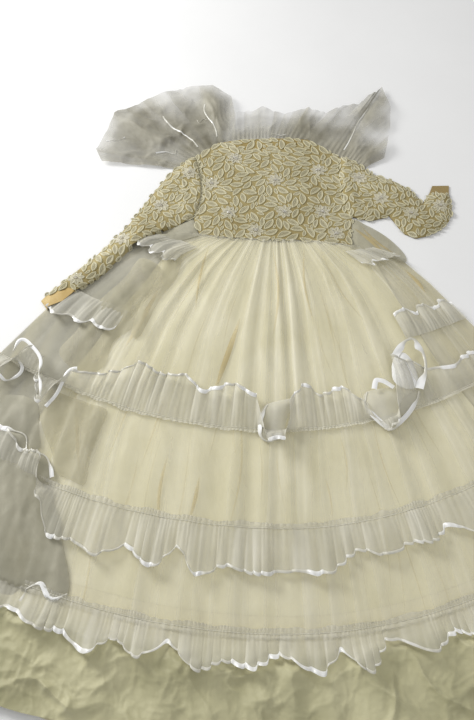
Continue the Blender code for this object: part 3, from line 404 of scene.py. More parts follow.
TURN_STEPS = 72
TURN_STEP = TAU / TURN_STEPS
BACK_OVERHANG, FRONT_OVERHANG, SLEEVE_OVERHANG = 0.003, 0.0060, 0.0050
BEAD_RINGS, BEAD_SIDES, BEAD_LIFT = 3, 7, 0.0022
BODICE_BEAD, SLEEVE_BEAD = 0.0015, 0.0013
MIDDLE_BEAD_SIZE, RING_BEAD_SIZE, LOOSE_BEAD_RANGE = 1.25, 0.9, (0.005, 0.016)

# Spacing of the mesh of the cut panels, and their creases
BODICE_BACK_PITCH, BODICE_FRONT_PITCH = 0.006, 0.005
SLEEVE_UNDER_PITCH, SLEEVE_TOP_PITCH, WRIST_PITCH, LOOP_PITCH = 0.010, 0.005, 0.004, 0.004
BODICE_CREASE, SLEEVE_CREASE = 0.0020, 0.0034
BODICE_HEM_RISE, BODICE_HEM_RUN = 0.0040, 0.016
RING_BEADS, BEAD_RING = 8, 0.0036

# Cape, one row for each station: place along its seam, free edge and lift
STATION_COLUMNS = ("place", "x", "y", "lift")
CAPE_STATIONS = (
    (0.000, -0.470, 0.268, 0.002),
    (0.033, -0.487, 0.318, 0.012),
    (0.067, -0.462, 0.392, 0.004),
    (0.100, -0.448, 0.452, 0.014),
    (0.137, -0.388, 0.484, 0.004),
    (0.181, -0.320, 0.534, 0.016),
    (0.230, -0.245, 0.554, 0.006),
    (0.265, -0.170, 0.562, 0.018),
    (0.298, -0.116, 0.520, 0.006),
    (0.341, -0.104, 0.452, 0.014),
    (0.404, -0.064, 0.464, 0.004),
    (0.467, -0.024, 0.480, 0.015),
    (0.536, 0.040, 0.448, 0.004),
    (0.605, 0.108, 0.472, 0.015),
    (0.668, 0.156, 0.458, 0.004),
    (0.700, 0.200, 0.480, 0.014),
    (0.748, 0.256, 0.496, 0.004),
    (0.811, 0.300, 0.536, 0.016),
    (0.869, 0.326, 0.560, 0.006),
    (0.906, 0.341, 0.480, 0.014),
    (0.947, 0.334, 0.392, 0.004),
    (0.980, 0.316, 0.322, 0.010),
    (1.000, 0.308, 0.284, 0.002),
)
CAPE_STEP = 0.013
CAPE_SLEEVE_POINTS = 4
CAPE_RIBBON_PLACES = (0.155, 0.248, 0.862)
CAPE_RIBBON_HALF = 0.0019
CAPE_LEAN = 1.1
CAPE_LEFT_COVER = 0.14
CAPE_GATHER, CAPE_CRUMPLE, CAPE_LIP, CAPE_SCALLOP = 0.0016, 0.0100, 0.0030, 0.020
CAPE_RIBBON_RUN, CAPE_RIBBON_STEPS = (0.10, 0.68), 40
CAPE_RIBBON_OVER = (-1.0, -0.4, 0.4, 1.0)
CAPE_BIT_WIDTH = 0.0035
CAPE_BITS = (
    ((-0.010, 0.366), (0.006, 0.371), (0.026, 0.366), (0.040, 0.370)),
    ((-0.322, 0.292), (-0.296, 0.302), (-0.270, 0.296), (-0.268, 0.312)),
    ((-0.214, 0.420), (-0.206, 0.408), (-0.196, 0.424), (-0.186, 0.418)),
    ((-0.462, 0.330), (-0.430, 0.336), (-0.412, 0.352)),
)

# Sheer cloths, a row each: two tones, roughness, depth of the wrinkles
ORGANZAS = {
    "front_organza": (((232, 228, 208), (242, 239, 224)), 0.42, 0.0009),
    "side_organza": (((158, 155, 137), (184, 180, 161)), 0.50, 0.0011),
    "ruffle_organza": (((218, 215, 198), (232, 229, 215)), 0.40, 0.0009),
    "cape_organza": (((130, 125, 106), (186, 182, 165)), 0.45, 0.0014),
    "fold_tint": (((204, 184, 130), (218, 200, 150)), 0.50, 0.0006),
}
# Other cloths, a row each: two tones, roughness, thread, relief, depth of the wrinkles, sheen
CLOTHS = {
    "lining": (((226, 219, 180), (238, 232, 200)), 0.50, 0.0008, 0.0001, 0.0014, 0.2),
    "hem": (((176, 172, 134), (210, 205, 166)), 0.42, 0.0008, 0.0001, 0.0022, 0.3),
    "thread": (((214, 211, 194), (228, 225, 210)), 0.50, 0.0006, 0.0001, 0.0, 0.2),
    "ground": (((152, 135, 84), (180, 165, 112)), 0.55, 0.0016, 0.0004, 0.0006, 0.2),
    "back_ground": (((150, 130, 74), (172, 152, 94)), 0.50, 0.0016, 0.0003, 0.0010, 0.2),
    "leaf": (((176, 168, 132), (200, 192, 158)), 0.60, 0.0012, 0.0005, 0.0005, 0.2),
    "cord": (((208, 201, 164), (228, 222, 190)), 0.55, 0.0009, 0.0004, 0.0, 0.2),
    "petal": (((200, 194, 164), (220, 214, 190)), 0.50, 0.0012, 0.0004, 0.0004, 0.2),
    "facing": (((186, 156, 92), (204, 178, 114)), 0.40, 0.0009, 0.0001, 0.0008, 0.3),
    "band": (((150, 128, 78), (170, 148, 96)), 0.50, 0.0009, 0.0002, 0.0006, 0.2),
}
WARM_TONE, HEM_TOP_TONE = (218, 210, 172), (232, 225, 190)
# Satin's own two tones, and the near-white painted highlight that the ribbons' base colour turns to
SATIN_TONES, SATIN_PAINTED_HIGHLIGHT = ((204, 201, 186), (222, 219, 206)), (254, 254, 252)
PEARL_TONES = ((212, 208, 192), (240, 237, 228))
FLOOR_TONES = ((248, 248, 247), (251, 251, 250))
TONE_ENDS = (0.34, 0.66)
ORGANZA_THREAD, ORGANZA_RELIEF = 0.0011, 0.00012
SATIN_THREAD, SATIN_RELIEF, SATIN_WRINKLE = 0.0005, 0.00005, 0.0004

# Patches of tone, and wrinkles, to the metre
ORGANZA_PATCHES, CLOTH_PATCHES, SATIN_PATCHES, PEARL_PATCHES, FLOOR_PATCHES = 7.0, 6.0, 22.0, 300.0, 3.0
ORGANZA_WRINKLES, CLOTH_WRINKLES, SATIN_WRINKLES = 95.0, 70.0, 160.0

# Stage
FLOOR_HALF, FLOOR_DROP = 6.0, 0.0008
SKY_STRENGTH = 0.42
LIGHT_COLUMNS = ("name", "place", "size", "power")
LIGHTS = (
    ("key", (-2.3, 1.5, 1.5), 1.1, 74.0),
    ("fill", (1.2, -1.0, 2.6), 2.0, 12.0),
)
CAMERA_PLACE = (-0.0985, -1.1697, 1.545)
CAMERA_TILT, CAMERA_LENS, CAMERA_SENSOR = 28.0, 36.9, 36.0

low_corner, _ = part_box("skirt_back_sheer")
PLACE = np.array([low_corner.x - BACK_LEFT_X, low_corner.y + BACK_HEM_DROP, 0.0])


# Tables and noise

def column(table, names, name):
    place = names.index(name)
    return np.array([row[place] for row in table], float)


SECTIONS = {name: column(SKIRT_SECTIONS, SECTION_COLUMNS, name) for name in SECTION_COLUMNS}


def eased(t):
    t = np.clip(t, 0.0, 1.0)
    return t * t * (3.0 - 2.0 * t)


def ripple(phase):
    """Smooth wave from 0 to 1."""
    return 0.5 + 0.5 * np.cos(phase)


def smooth_between(x, xs, ys):
    """Values between table rows, easing in and out of each row."""
    i = np.clip(np.searchsorted(xs, x) - 1, 0, len(xs) - 2)
    share = eased((x - xs[i]) / (xs[i + 1] - xs[i]))
    return ys[i] + (ys[i + 1] - ys[i]) * share


def noise(x, y, seed):
    """Smooth noise from 0 to 1, with features about one unit across."""
    table = np.random.default_rng(seed).random((64, 64))
    ix, iy = np.floor(x).astype(int), np.floor(y).astype(int)
    fx, fy = eased(x - ix), eased(y - iy)
    low = table[ix % 64, iy % 64] * (1.0 - fx) + table[(ix + 1) % 64, iy % 64] * fx
    high = table[ix % 64, (iy + 1) % 64] * (1.0 - fx) + table[(ix + 1) % 64, (iy + 1) % 64] * fx
    return low * (1.0 - fy) + high * fy


def cloud(x, y, seed, octaves=3):
    total, weight = 0.0, 0.0
    for k in range(octaves):
        size = 2.0 ** k
        total = total + noise(x * size, y * size, seed + k) / size
        weight += 1.0 / size
    return total / weight


def creased(x, y, seed, octaves=3):
    """Sharp-ridged noise from 0 to 1, for crumpled cloth."""
    warp_x = cloud(x * 0.7 + 9.1, y * 0.7, seed + 11, 2)
    warp_y = cloud(x * 0.7, y * 0.7 + 5.3, seed + 17, 2)
    x, y = x + 1.6 * (warp_x - 0.5), y + 1.6 * (warp_y - 0.5)
    total, weight = 0.0, 0.0
    for k in range(octaves):
        size = 1.9 ** k
        ridge = 1.0 - np.abs(2.0 * noise(x * size, y * size, seed + k) - 1.0)
        total = total + ridge ** 1.5 / size
        weight += 1.0 / size
    return total / weight


def bands(place, count, seed):
    """Folded cloth as uneven bands from 0 to 1. Each starts at a crisp edge and fades over its width."""
    weights = np.random.default_rng(seed).random(BAND_WEIGHTS)
    phase = place * count + 1.7 * (noise(place * count * 0.23, place * 0.0, seed + 1) - 0.5)
    step = phase - np.floor(phase)
    weight = weights[np.floor(phase).astype(int) % BAND_WEIGHTS]
    return weight * eased(step / BAND_EDGE) * (1.0 - eased((step - BAND_EDGE) / (1.0 - BAND_EDGE)))


# Skirt form

def half_width(drop, across):
    left = np.interp(drop, SECTIONS["drop"], SECTIONS["left_x"])
    right = np.interp(drop, SECTIONS["drop"], SECTIONS["right_x"])
    return np.where(across < 0.0, left, right)


def skirt_point(drop, across):
    left = np.interp(drop, SECTIONS["drop"], SECTIONS["left_y"])
    right = np.interp(drop, SECTIONS["drop"], SECTIONS["right_y"])
    rise = np.where(across < 0.0, left, right) + drop
    return across * half_width(drop, across), rise * across * across - drop


def lining_share(drop):
    return np.interp(drop, SECTIONS["drop"], SECTIONS["lining"])


def fold_phase(across):
    drift = 0.45 * np.sin(5.0 * across + 0.6) + 0.25 * np.sin(13.0 * across)
    return SKIRT_FOLDS * (across + 1.0) / 2.0 + drift


def skirt_fold(drop, across):
    crest = np.interp(drop, *zip(*FOLD_HEIGHT))
    uneven = 0.72 + 0.28 * np.sin(9.0 * across + 4.0 * drop)
    return crest * uneven * ripple(TAU * fold_phase(across))


def front_sheer_height(drop, across):
    share = eased((np.abs(across) - lining_share(drop) - EDGE_CLEAR) / EDGE_FALL)
    low = FRONT_SHEER_LOW + (BACK_LINING_LOW - FRONT_SHEER_LOW) * share
    return low + skirt_fold(drop, across)


def gathers(drop, across):
    """Fine gathers that run down from the waist, merging and fading with the drop."""
    sway = 0.010 * np.sin(7.0 * drop + 4.0 * across) + 0.016 * (cloud(across * 9.0, drop * 3.0, 21) - 0.5)
    patch = 0.35 + 0.9 * cloud(across * 14.0, drop * 2.5, 31)
    total = 0.0
    for count, sway_share, shift, height, fade in GATHERS:
        fold = ripple(TAU * count * (across + sway_share * sway) + shift)
        total = total + height * fold * np.exp(-drop / fade)
    return total * patch


def soft_creases(x, y):
    """Long shallow creases over the whole skirt, some of them slanting."""
    long = creased(x * 9.0 + 1.4 * y, y * 3.1, 41, 2)
    slanting = creased((x + 0.6 * y) * 6.0, (y - 0.6 * x) * 2.6, 43, 2)
    short = creased(x * 21.0, y * 13.0, 47, 2)
    return LONG_CREASE * long ** 2 + SLANTING_CREASE * slanting ** 2 + SHORT_CREASE * short ** 2


def fold_bands(drop, across):
    """Doubled folds that hang from the waist and from each tier's seam."""
    out = np.zeros(np.shape(drop))
    for top, count, seed in FOLD_LEVELS:
        sway = FOLD_SWAY * (cloud(across * 3.0, drop * 2.2, seed, 2) - 0.5)
        broad = bands(across + sway, count, seed + 3)
        narrow = bands(across + 1.5 * sway, NARROW_FOLDS * count, seed + 5)
        patch = 0.30 + 0.85 * cloud(across * 5.0, drop * 3.2, seed + 7, 2)
        out = np.where(drop >= top, patch * (BROAD_SHARE * broad + NARROW_SHARE * narrow), out)
    return out


# Meshes

def srgb(red, green, blue):
    """Linear colour from one given in 0 to 255."""
    share = [v / 255.0 for v in (red, green, blue)]
    return tuple(v / 12.92 if v <= 0.04045 else ((v + 0.055) / 1.055) ** 2.4 for v in share)


class Support:
    """Surfaces that later pieces lie on."""

    def __init__(self):
        self.trees = {}

    def add_grid(self, name, points):
        faces = grid_faces(*points.shape[:2])
        self.trees[name] = BVHTree.FromPolygons(points.reshape(-1, 3).tolist(), faces.tolist())

    def add_mesh(self, name, verts, faces):
        self.trees[name] = BVHTree.FromPolygons([tuple(v) for v in verts], [tuple(f) for f in faces])

    def add_node(self, name):
        """A solid of the part, brought back to the design frame."""
        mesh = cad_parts[name].data
        verts = [np.array(v.co) - PLACE for v in mesh.vertices]
        self.add_mesh(name, verts, [list(p.vertices) for p in mesh.polygons])

    def height(self, x, y, names=None):
        """Highest surface under each place, or zero on the bare floor."""
        shape = np.shape(x)
        found = np.zeros(np.size(x))
        down = Vector((0.0, 0.0, -1.0))
        flat_x, flat_y = np.ravel(x), np.ravel(y)
        for name in names or self.trees:
            tree = self.trees[name]
            for i, (px, py) in enumerate(zip(flat_x, flat_y)):
                hit = tree.ray_cast(Vector((px, py, 1.0)), down)[0]
                if hit is not None and hit.z > found[i]:
                    found[i] = hit.z
        return found.reshape(shape)


support = Support()


def spread(values, reach):
    """Largest value within reach columns on either side."""
    out = values.copy()
    for step in range(1, reach + 1):
        out[..., step:] = np.maximum(out[..., step:], values[..., :-step])
        out[..., :-step] = np.maximum(out[..., :-step], values[..., step:])
    return out


def blurred(values, passes, axis):
    out = values.copy()
    for _ in range(passes):
        padded = np.concatenate([np.take(out, [0], axis), out, np.take(out, [-1], axis)], axis)
        length = out.shape[axis]
        first = np.take(padded, range(0, length), axis)
        last = np.take(padded, range(2, length + 2), axis)
        out = 0.25 * first + 0.5 * out + 0.25 * last
    return out


def set_uv(mesh, coordinates):
    layer = mesh.uv_layers.new(name="cloth")
    loops = np.empty(len(mesh.loops), np.int32)
    mesh.loops.foreach_get("vertex_index", loops)
    layer.data.foreach_set("uv", np.asarray(coordinates, np.float32)[loops].ravel())


def set_share(mesh, name, values):
    layer = mesh.attributes.new(name, "FLOAT", "POINT")
    layer.data.foreach_set("value", np.asarray(values, np.float32).ravel())


def make_piece(name, verts, faces, materials, uv=None, shares=None, face_materials=None):
    mesh = bpy.data.meshes.new(name)
    mesh.from_pydata((np.asarray(verts) + PLACE).tolist(), [], [list(f) for f in faces])
    for material in materials:
        mesh.materials.append(material)
    if face_materials is not None:
        mesh.polygons.foreach_set("material_index", np.asarray(face_materials, np.int32))
    mesh.shade_smooth()
    if uv is not None:
        set_uv(mesh, uv)
    for share_name, values in (shares or {}).items():
        set_share(mesh, share_name, values)
    obj = bpy.data.objects.new(name, mesh)
    bpy.context.scene.collection.objects.link(obj)
    mesh.update()
    return obj


def grid_faces(rows, columns, closed=False):
    index = np.arange(rows * columns).reshape(rows, columns)
    if closed:
        index = np.concatenate([index, index[:, :1]], axis=1)
    faces = np.stack([index[:-1, :-1], index[:-1, 1:], index[1:, 1:], index[1:, :-1]], axis=-1)
    return faces.reshape(-1, 4)


def grid_uv(points):
    """Cloth coordinates in metres, from the lengths along the rows and columns of a grid."""
    rows, columns = points.shape[:2]
    along = np.linalg.norm(np.diff(points, axis=1), axis=2)
    down = np.linalg.norm(np.diff(points, axis=0), axis=2)
    u = np.concatenate([np.zeros((rows, 1)), np.cumsum(along, axis=1)], axis=1)
    v = np.concatenate([np.zeros((1, columns)), np.cumsum(down, axis=0)], axis=0)
    u = np.tile(u.mean(axis=0), (rows, 1))
    return np.stack([u, v], axis=-1).reshape(-1, 2)


def upright(points):
    """Upward part of a grid's normals, from 0 to 1."""
    along = np.gradient(points, axis=1)
    down = np.gradient(points, axis=0)
    normals = np.cross(along, down)
    length = np.maximum(np.linalg.norm(normals, axis=2), TINY)
    return np.abs(normals[..., 2]) / length


def grid_piece(name, points, material, cover=None, slope_gain=0.0, shares=None):
    """Sheet from a grid of points. Sheer cloth covers more where it stands steep."""
    shares = dict(shares or {})
    if cover is not None:
        steep = 1.0 - upright(points)
        shares["sheer_cover"] = np.clip(cover + slope_gain * steep, 0.0, 0.97).reshape(-1)
    faces = grid_faces(*points.shape[:2])
    return make_piece(name, points.reshape(-1, 3), faces, [material], grid_uv(points), shares)


def hang_on(obj, nodes=()):
    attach(obj, "root")
    if nodes:
        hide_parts(*nodes)
    return obj


# Materials

def new_material(name):
    material = bpy.data.materials.new(name)
    material.use_nodes = True
    tree = material.node_tree
    shader = tree.nodes["Principled BSDF"]
    return material, tree, shader


def add_node(tree, kind, **values):
    node = tree.nodes.new(kind)
    for key, value in values.items():
        if key in node.inputs:
            node.inputs[key].default_value = value
        else:
            setattr(node, key, value)
    return node


def set_inputs(shader, values):
    for key, value in values.items():
        shader.inputs[key].default_value = value


def tones(colours):
    return tuple(srgb(*colour) for colour in colours)


def shade_variation(tree, shader, colours, scale):
    """Colour that drifts between two tones over the cloth."""
    where = add_node(tree, "ShaderNodeTexCoord")
    patches = add_node(tree, "ShaderNodeTexNoise", Scale=scale, Detail=4.0, Roughness=0.6)
    tree.links.new(where.outputs["Object"], patches.inputs["Vector"])
    ramp = add_node(tree, "ShaderNodeValToRGB")
    for element, position, colour in zip(ramp.color_ramp.elements, TONE_ENDS, tones(colours)):
        element.position = position
        element.color = (*colour, 1.0)
    tree.links.new(patches.outputs["Fac"], ramp.inputs["Fac"])
    tree.links.new(ramp.outputs["Color"], shader.inputs["Base Color"])
    return where


def weave_bump(tree, shader, where, thread, depth, wrinkle, wrinkle_scale):
    """Crossed threads along the cloth coordinates, over soft wrinkles."""
    split = add_node(tree, "ShaderNodeSeparateXYZ")
    tree.links.new(where.outputs["UV"], split.inputs[0])
    waves = []
    for axis in ("X", "Y"):
        scaled = add_node(tree, "ShaderNodeMath", operation="MULTIPLY")
        tree.links.new(split.outputs[axis], scaled.inputs[0])
        scaled.inputs[1].default_value = TAU / thread
        wave = add_node(tree, "ShaderNodeMath", operation="SINE")
        tree.links.new(scaled.outputs[0], wave.inputs[0])
        waves.append(wave)
    woven = add_node(tree, "ShaderNodeMath", operation="MULTIPLY")
    tree.links.new(waves[0].outputs[0], woven.inputs[0])
    tree.links.new(waves[1].outputs[0], woven.inputs[1])
    bump = add_node(tree, "ShaderNodeBump", Strength=0.5, Distance=depth)
    tree.links.new(woven.outputs[0], bump.inputs["Height"])
    if wrinkle:
        rough = add_node(tree, "ShaderNodeTexNoise", Scale=wrinkle_scale, Detail=5.0, Roughness=0.62)
        tree.links.new(where.outputs["Object"], rough.inputs["Vector"])
        creases = add_node(tree, "ShaderNodeBump", Strength=0.6, Distance=wrinkle)
        tree.links.new(rough.outputs["Fac"], creases.inputs["Height"])
        tree.links.new(creases.outputs["Normal"], bump.inputs["Normal"])
    tree.links.new(bump.outputs["Normal"], shader.inputs["Normal"])


def blend_by_share(tree, shader, share_name, colour):
    """Base colour that turns into another one where the mesh says so."""
    share = add_node(tree, "ShaderNodeAttribute", attribute_name=share_name)
    mix = add_node(tree, "ShaderNodeMix", data_type="RGBA")
    factor, first, second = mix.inputs[0], mix.inputs[6], mix.inputs[7]
    tree.links.new(shader.inputs["Base Color"].links[0].from_socket, first)
    second.default_value = (*srgb(*colour), 1.0)
    tree.links.new(share.outputs["Fac"], factor)
    tree.links.new(mix.outputs[2], shader.inputs["Base Color"])


def organza(name, colours, roughness, wrinkle):
    """Sheer cloth. How dense it is comes from the mesh: more where it is gathered or stands steep."""
    material, tree, shader = new_material(name)
    where = shade_variation(tree, shader, colours, ORGANZA_PATCHES)
    if name == "side_organza":
        blend_by_share(tree, shader, "warm_share", WARM_TONE)
    weave_bump(tree, shader, where, ORGANZA_THREAD, ORGANZA_RELIEF, wrinkle, ORGANZA_WRINKLES)
    dense = add_node(tree, "ShaderNodeAttribute", attribute_name="sheer_cover")
    tree.links.new(dense.outputs["Fac"], shader.inputs["Alpha"])
    set_inputs(shader, {
        "Roughness": roughness, "Sheen Weight": 0.25, "Sheen Roughness": 0.4, "Specular IOR Level": 0.35,
    })
    return material


def cloth(name, colours, roughness, thread, relief, wrinkle, sheen):
    """Woven cloth that light doesn't pass. The hem's turns into the lining's colour at its top."""
    material, tree, shader = new_material(name)
    where = shade_variation(tree, shader, colours, CLOTH_PATCHES)
    if name == "hem":
        blend_by_share(tree, shader, "like_lining", HEM_TOP_TONE)
    weave_bump(tree, shader, where, thread, relief, wrinkle, CLOTH_WRINKLES)
    set_inputs(shader, {"Roughness": roughness, "Sheen Weight": sheen, "Specular IOR Level": 0.3})
    return material


def satin():
    """Ribbon with a painted highlight: dull where it turns away, its base colour painted near white where it
    faces up.
    """
    material, tree, shader = new_material("satin")
    where = shade_variation(tree, shader, SATIN_TONES, SATIN_PATCHES)
    # Painted highlight: the base colour turns near white by the mesh's highlight share
    blend_by_share(tree, shader, "ribbon_painted_highlight", SATIN_PAINTED_HIGHLIGHT)
    weave_bump(tree, shader, where, SATIN_THREAD, SATIN_RELIEF, SATIN_WRINKLE, SATIN_WRINKLES)
    set_inputs(shader, {
        "Roughness": 0.24, "Anisotropic": 0.5, "Sheen Weight": 0.15, "Specular IOR Level": 0.75,
    })
    return material


def pearl():
    material, tree, shader = new_material("pearl")
    shade_variation(tree, shader, PEARL_TONES, PEARL_PATCHES)
    set_inputs(shader, {"Roughness": 0.16, "Specular IOR Level": 0.8, "Coat Weight": 0.6})
    return material


MATERIALS = {
    **{name: organza(name, colours, *rest) for name, (colours, *rest) in ORGANZAS.items()},
    **{name: cloth(name, colours, *rest) for name, (colours, *rest) in CLOTHS.items()},
    "satin": satin(),
    "pearl": pearl(),
}


# Skirt layers

def skirt_grid(drops, columns, share_at, height):
    along = np.linspace(-1.0, 1.0, columns)
    drop, along = np.meshgrid(drops, along, indexing="ij")
    across = along * share_at(drop)
    x, y = skirt_point(drop, across)
    return np.stack([x, y, height(drop, across, x, y)], axis=-1)


def whole_width(drop):
    return np.full_like(drop, WHOLE_WIDTH)


def back_organza():
    rows, columns = BACK_GRID
    drops = np.linspace(0.0, BACK_HEM_DROP, rows)

    def height(d, a, x, y):
        return SHEER_WALL / 2.0 + UNDER_RIPPLE * np.sin(70.0 * a)

    points = skirt_grid(drops, columns, whole_width, height)
    depth, side = np.meshgrid(drops, np.linspace(-1.0, 1.0, columns), indexing="ij")
    streaks = bands(side + 0.05 * np.sin(7.0 * depth), STREAKS, 91)
    warm = np.clip(eased((side + 0.15) / 0.5) * 0.9 + 0.5 * streaks, 0.0, 1.0)
    cover = BACK_COVER + STREAK_COVER * streaks
    shares = {"warm_share": warm.reshape(-1)}
    obj = grid_piece("skirt_back_organza", points, MATERIALS["side_organza"], cover, 0.3, shares)
    hang_on(obj, ["skirt_back_sheer"])
    return points


def back_lining():
    rows, columns = BACK_LINING_GRID

    def height(d, a, x, y):
        return BACK_LINING_LOW + LINING_WALL / 2.0 + UNDER_RIPPLE * np.sin(50.0 * a)

    points = skirt_grid(np.linspace(0.0, HEM_DROP - 0.004, rows), columns, lining_share, height)
    obj = grid_piece("skirt_back_lining_cloth", points, MATERIALS["lining"])
    hang_on(obj, ["skirt_back_lining"])


def taut_rise(drop, across, x, y):
    """Rise of the lining over the folds below it."""
    return LINING_FOLD_SHARE * skirt_fold(drop, across) + LINING_CREASE_SHARE * soft_creases(x, y)


def front_lining():
    rows, columns = FRONT_LINING_GRID

    def height(d, a, x, y):
        return FRONT_LINING_LOW + LINING_WALL / 2.0 + taut_rise(d, a, x, y)

    points = skirt_grid(np.linspace(0.0, FLOUNCE_TOP_DROP, rows), columns, lining_share, height)
    obj = grid_piece("skirt_front_lining_cloth", points, MATERIALS["lining"])
    hang_on(obj, ["skirt_front_lining"])


def front_organza():
    rows, columns = FRONT_SHEER_GRID
    drops = np.linspace(0.0, SHEER_HEM_DROP, rows)

    def height(d, a, x, y):
        lip = FOLD_LIFT * fold_bands(d, a)
        return front_sheer_height(d, a) + SHEER_WALL / 2.0 + gathers(d, a) + soft_creases(x, y) + lip

    points = skirt_grid(drops, columns, whole_width, height)
    depth, side = np.meshgrid(drops, WHOLE_WIDTH * np.linspace(-1.0, 1.0, columns), indexing="ij")
    left_side = eased((-side - lining_share(depth)) / 0.1)
    cover = (SHEER_COVER + DOUBLED_COVER * fold_bands(depth, side)) * (1.0 - 0.55 * left_side)
    obj = grid_piece("skirt_front_organza", points, MATERIALS["front_organza"], cover, 0.75)
    hang_on(obj, ["skirt_front_sheer"])
    return points


def skirt_layers():
    back = back_organza()
    back_lining()
    front_lining()
    support.add_grid("sheer", front_organza())
    support.add_grid("back", back)


def fold_lines():
    """Narrow turned-in folds of the skirt, tan where more cloth lies under them."""
    rng = np.random.default_rng(FOLD_LINE_SEED)
    lines = list(FOLD_LINES)
    for _ in range(LOOSE_FOLDS):
        across, top = rng.uniform(-0.60, 0.60), rng.uniform(0.01, 0.86)
        length = rng.uniform(0.10, 0.30)
        drift = rng.uniform(-0.02, 0.02)
        ends = skirt_point(np.array([top, top + length]), np.array([across, across + drift]))
        first, last = np.array(ends).T
        lines.append((*first, *last, rng.uniform(0.002, 0.005), rng.uniform(0.06, 0.22)))
    verts, faces, uv, cover = [], [], [], []
    rows, columns = FOLD_LINE_GRID
    share = np.linspace(0.0, 1.0, rows)[:, None]
    over = np.linspace(-0.5, 0.5, columns)[None, :]
    for number, (x0, y0, x1, y1, width, most) in enumerate(lines):
        length = math.hypot(x1 - x0, y1 - y0)
        swell = np.sin(np.pi * (0.04 + 0.92 * share)) ** 0.8
        bow = 0.06 * length * np.sin(np.pi * share) * math.sin(2.4 * number)
        x = x0 + (x1 - x0) * share - (y1 - y0) / length * (over * width * swell + bow)
        y = y0 + (y1 - y0) * share + (x1 - x0) / length * (over * width * swell + bow)
        z = support.height(x, y, ["sheer", "waist_right_organza"]) + 0.0004 + 0.0008 * (1.0 - 4.0 * over ** 2)
        verts.append(np.stack([x, y, z], axis=-1).reshape(-1, 3))
        faces.append(grid_faces(rows, columns) + number * rows * columns)
        uv.append(np.stack(np.broadcast_arrays(over * width, share * length), axis=-1).reshape(-1, 2))
        cover.append((most * swell * np.ones_like(over)).reshape(-1))
    obj = make_piece(
        "skirt_fold_lines", np.concatenate(verts), np.concatenate(faces), [MATERIALS["fold_tint"]],
        np.concatenate(uv), {"sheer_cover": np.concatenate(cover)},
    )
    hang_on(obj)


def flounce_crumple(along, drop):
    phase = FLOUNCE_FOLDS * (along + 1.0) / 2.0 + 0.5 * np.sin(6.0 * along) + 1.8 * (drop - HEM_DROP)
    fold = ripple(TAU * phase)
    ridge = 0.5 + 0.5 * np.sin(31.0 * along + 38.0 * drop)
    return (1.0 - FLOUNCE_RIDGE_SHARE) * fold + FLOUNCE_RIDGE_SHARE * ridge


def flounce():
    rows, columns = FLOUNCE_GRID
    drops = np.linspace(FLOUNCE_TOP_DROP + SEAM_GAP, HEM_DROP, rows)
    drop, along = np.meshgrid(drops, np.linspace(-1.0, 1.0, columns), indexing="ij")
    share = (drop - FLOUNCE_TOP_DROP) / (HEM_DROP - FLOUNCE_TOP_DROP)
    wander = 0.010 * np.sin(11.0 * along + 1.0) * share ** 3
    x, y = skirt_point(drop - wander, along * lining_share(drop))
    slack = eased((drop - SLACK_TOP) / SLACK_RUN)
    taut = (1.0 - slack) * taut_rise(drop, along * lining_share(drop), x, y)
    lift = FLOUNCE_LIFT * slack * flounce_crumple(along, drop)
    large = creased((x + 0.8 * y) * 8.0, (y - 0.5 * x) * 6.0, 71, 2) ** 2.0
    crumple = creased(x * 17.0 - 5.0 * y, y * 15.0, 73, 3) ** 1.7
    fine = creased(x * 44.0, y * 38.0, 77, 2) ** 1.5
    ruck = slack * (LARGE_CRUMPLE * large + CRUMPLE * crumple + FINE_CRUMPLE * fine)
    z = FRONT_LINING_LOW + LINING_WALL / 2.0 + taut + lift + ruck
    points = np.stack([x, y, z], axis=-1)
    like_lining = 1.0 - eased((drop - 0.975) / 0.05)
    shares = {"like_lining": like_lining.reshape(-1)}
    obj = grid_piece("hem_flounce_cloth", points, MATERIALS["hem"], shares=shares)
    hang_on(obj, ["lining_hem_flounce"])
    support.add_grid("flounce", points)


# Ruffles

def resample(profile, shares_of_length):
    """Points along each column's own line, at given lengths from its start."""
    steps = np.linalg.norm(np.diff(profile, axis=0), axis=2)
    run = np.concatenate([np.zeros((1, profile.shape[1])), np.cumsum(steps, axis=0)], axis=0)
    out = np.empty((len(shares_of_length), profile.shape[1], 3))
    for i in range(profile.shape[1]):
        for axis in range(3):
            out[:, i, axis] = np.interp(shares_of_length[:, i], run[:, i], profile[:, i, axis])
    return out


def run_of(profile):
    return np.linalg.norm(np.diff(profile, axis=0), axis=2).sum(axis=0)


def ruffle_ribbon(name, profile, full, ribbon, phase, shine, seed):
    """Satin edge of a ruffle, puckered and curled in places."""
    over = np.linspace(0.0, 1.0, RIBBON_ROWS)[:, None]
    band = resample(profile, (full - ribbon) + over * ribbon)
    bulge = np.sin(np.pi * over)
    pucker = RIBBON_PUCKER * np.cos(PUCKER_TURNS * phase) * (0.2 + 0.8 * over)
    curl = RIBBON_CURL * np.sin(CURL_TURNS * phase + seed) * over
    band[..., 2] += RIBBON_LIFT + RIBBON_BULGE * bulge + pucker + np.maximum(curl, 0.0)
    # Painted highlight along the ribbon, brighter on the crests of the puckers
    painted_glints = shine * (0.80 + 0.20 * np.cos(PUCKER_TURNS * phase))
    shares = {"ribbon_painted_highlight": np.tile(painted_glints, (RIBBON_ROWS, 1)).reshape(-1)}
    trim = grid_piece(f"{name}_satin", band, MATERIALS["satin"], shares=shares)
    return hang_on(trim, [f"{name}_ribbon"])


